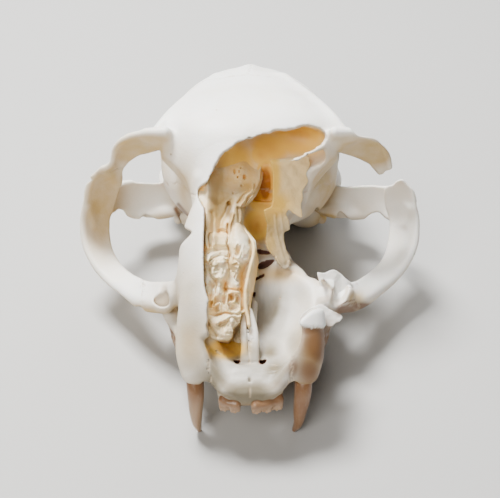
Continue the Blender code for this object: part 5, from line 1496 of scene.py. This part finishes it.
def canine(name, neck_x, tip_x, side):
    """Rings along a curve through six stations (x, back, up, radius), and two more that close the tip. Each
    ring is 1.1 radii front to back and 0.94 side to side, less a groove on the outer and inner side, which
    is 0.08 exp(-50 s⁴) deep with s the sine of the turn. The left tooth is darker all along, painted shade."""
    bow = (neck_x + tip_x) / 2
    path = flowing([
        (neck_x + 0.4, 7.4, 4.4, 1.5), (neck_x + 0.15, 6.0, 1.6, 1.85), (neck_x, 5.3, -1.2, 1.80),
        (bow + 0.25, 5.1, -4.8, 1.45), (0.35 * neck_x + 0.65 * tip_x + 0.2, 5.5, -8.1, 1.02),
        (tip_x, 6.2, -10.4, 0.52),
    ], CANINE_STEPS)
    closing = np.array([(0, 0.05, -0.22, -0.12), (0, 0.09, -0.38, -0.30)])
    path = np.vstack([path, path[-1] + closing])
    turn = np.linspace(0, 2 * math.pi, CANINE_SIDES, endpoint=False)[None, :]
    groove = 1 - 0.08 * np.exp(-(np.cos(turn) ** 2 - 1) ** 2 / 0.02)
    radius = path[:, 3:4] * groove
    rings = np.stack([
        path[:, 0:1] + 0.94 * radius * np.cos(turn), path[:, 1:2] + 1.1 * radius * np.sin(turn),
        path[:, 2:3] + 0.25 * radius * np.sin(turn),
    ], -1)
    rings[..., 0] *= side
    # Browner at the neck where the gum was and a little on the back, and painted shade all along the left
    # tooth.
    neck = between(path[:, 2:3], -3.5, 1.4) + 0.25 * between(rings[..., 1], 6, 9) + (0.9 if side > 0 else 0)
    piece = ring_piece(name + "_tooth", rings, {"neck": np.clip(neck, 0, 1)}, tooth)
    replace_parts(piece, name)


canine("canine_left", 9.8, 8.5, 1)
canine("canine_right", 10.1, 9.7, -1)

# ------------------------------------------------------------------ front teeth and cheek teeth
# Small lobed front teeth, of which the right first one has fallen out, and the cheek teeth behind the
# canines: a stub, a pointed tooth, the long cutting tooth and the small one behind it on each side.


def cone(top, tip, wide, fine):
    """A tooth's cusp: a round rod from a wide top to a fine tip."""
    return rods(np.array([top], float), np.array([tip], float), np.array([wide]), np.array([fine]))


def tooth_marks(space, points, normals):
    """Brown where the teeth meet the bone."""
    return {"neck": between(points[:, 2], -2.6, 0.9)}


front_row = Space((-6.8, -1.2, -3.2), (6.8, 6.4, 3.2), grain=0.14)
for x, wide, low_end in (
    (-4.6, 1.1, -2.6), (-2.72, 0.95, -2.45), (1.25, 0.95, -2.4), (3.05, 1, -2.5), (4.95, 1.12, -2.6),
):
    back = 0.9 + 0.05 * x * x
    front_row.add(bar([
        ((x - wide + 0.2, back + 1.5, 0.9), (x + wide - 0.2, back + 1.5, 0.9), 0.7, 0.7),
        ((x - wide, back + 0.4, -0.3), (x + wide, back + 0.4, -0.3), 0.8, 0.8),
        ((x - wide, back, -1.5), (x + wide, back + 0.1, -1.5), 0.6, 0.6),
    ], 0.2), soft=0.12, rough=roughness(0.06, 1.0, 82))
    for step, longer in ((-0.6, 0.1), (0.0, 0.3), (0.6, 0.0)):
        lobe_x, lobe_end = x + step * wide, low_end + 0.62 - longer
        lobe = cone((lobe_x, back, -1.4), (lobe_x, back - 0.1, lobe_end), 0.45, 0.34)
        front_row.add(lobe, soft=0.2, rough=roughness(0.06, 0.7, 80))
for gum in (
    [(-5, 2.4, -0.5, 0.8), (-4, 1.7, -0.5, 0.85), (-2.5, 1.3, -0.5, 0.8)],
    [(1, 1, -0.5, 0.8), (3, 1.4, -0.5, 0.85), (5.3, 2.5, -0.5, 0.8)],
):
    front_row.add(rod(gum, 0.2), soft=0.5)
grown_piece("front_teeth", front_row, tooth_marks, tooth)

cheek_row = Space((9.4, 9.2, -6.8), (19.2, 35.4, 4.0), grain=0.2)
CUSPS = [
    ((12.3, 11.8, 1.6), (12.2, 11.7, -1.2), 0.9, 0.5), ((13.1, 15.2, 1.2), (12.9, 15.2, -1.9), 0.8, 0.4),
    ((13.3, 16.9, 1.4), (13, 16.9, -4.2), 1.25, 0.28), ((13.8, 18.8, 1.2), (13.6, 18.9, -1.9), 0.85, 0.4),
    ((14.2, 21.8, 1.2), (14, 21.8, -3), 1, 0.35), ((14.9, 24.9, 1.4), (14.7, 25.2, -5.6), 1.45, 0.3),
    ((15.9, 28.9, 1.4), (15.6, 29.2, -3.9), 1.2, 0.38), ((12.9, 23, 1.2), (12.7, 22.8, -1.3), 1, 0.5),
    ((15.2, 33, 1.8), (15, 33, -0.6), 0.9, 0.5), ((13.6, 33.3, 1.8), (13.5, 33.3, -0.3), 0.8, 0.5),
]
cheek_row.add(*(cone(*cusp) for cusp in CUSPS), soft=0.8)
cheek_row.add(*(cone(*blade) for blade in (
    ((14.8, 25.6, -4.3), (15.6, 28.8, -3.5), 0.42, 0.42), ((14.1, 22.2, -1.8), (14.6, 24.4, -2.8), 0.6, 0.7),
    ((13.1, 15.6, -0.8), (13.5, 18.4, -0.8), 0.75, 0.75), ((14.2, 22, 0), (15.8, 29, 0), 1, 1.1),
    ((14.9, 25.2, -1.7), (15.7, 28.9, -1.5), 1, 1), ((14.9, 25.5, -3.1), (15.6, 28.8, -2.7), 0.75, 0.7),
)), soft=0.7)
grown_piece("cheek_teeth_left", cheek_row, tooth_marks, tooth)
other_row = Space((-19.2, 9.2, -6.8), (-9.4, 35.4, 4.0), grain=0.2)
other_row.far = cheek_row.far[::-1].copy()
grown_piece("cheek_teeth_right", other_row, tooth_marks, tooth)

# ------------------------------------------------------------------ ear capsules
# Thin-walled bubbles of bone under each ear, smooth and a little brighter than the base around them, each
# with the round opening of the ear on its outer side.


def ear_space(side):
    """A lattice with the capsule of one side: an egg, swollen inwards, with a ring round the opening."""
    space = Space((3.4, 60.6, -3.6), (21.4, 84.0, 14.6), grain=0.28)
    space.add(egg((12.2, 72.2, 5.3), (5.7, 9.4, 6.25), turn=(0, 0, 12)))
    space.add(egg((10.6, 74.0, 5.2), (5.2, 7.6, 5.6), turn=(0, 0, 12)), soft=1.5)
    space.add(egg((16.6, 69.2, 7.4), (2.4, 4.2, 3.4)), soft=1.6)
    space.cut(rod([(22, 67.4, 8.6, 1.9), (15.0, 69.6, 8.2, 1.5)]), soft=0.6)
    space.cut(rod([(7.2, 63.6, 4.2, 0.7), (9.2, 65.4, 5.4, 0.6)]), soft=0.4)
    if side < 0:
        space.far = space.far[::-1].copy()
        space.axes[0] = -space.axes[0][::-1]
        space.low = np.array([space.axes[0][0], space.low[1], space.low[2]], float)
    return space


for side, name in ((1, "ear_capsule_left"), (-1, "ear_capsule_right")):
    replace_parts(grown_piece(name + "_bone", ear_space(side), own_marks, bone), name)
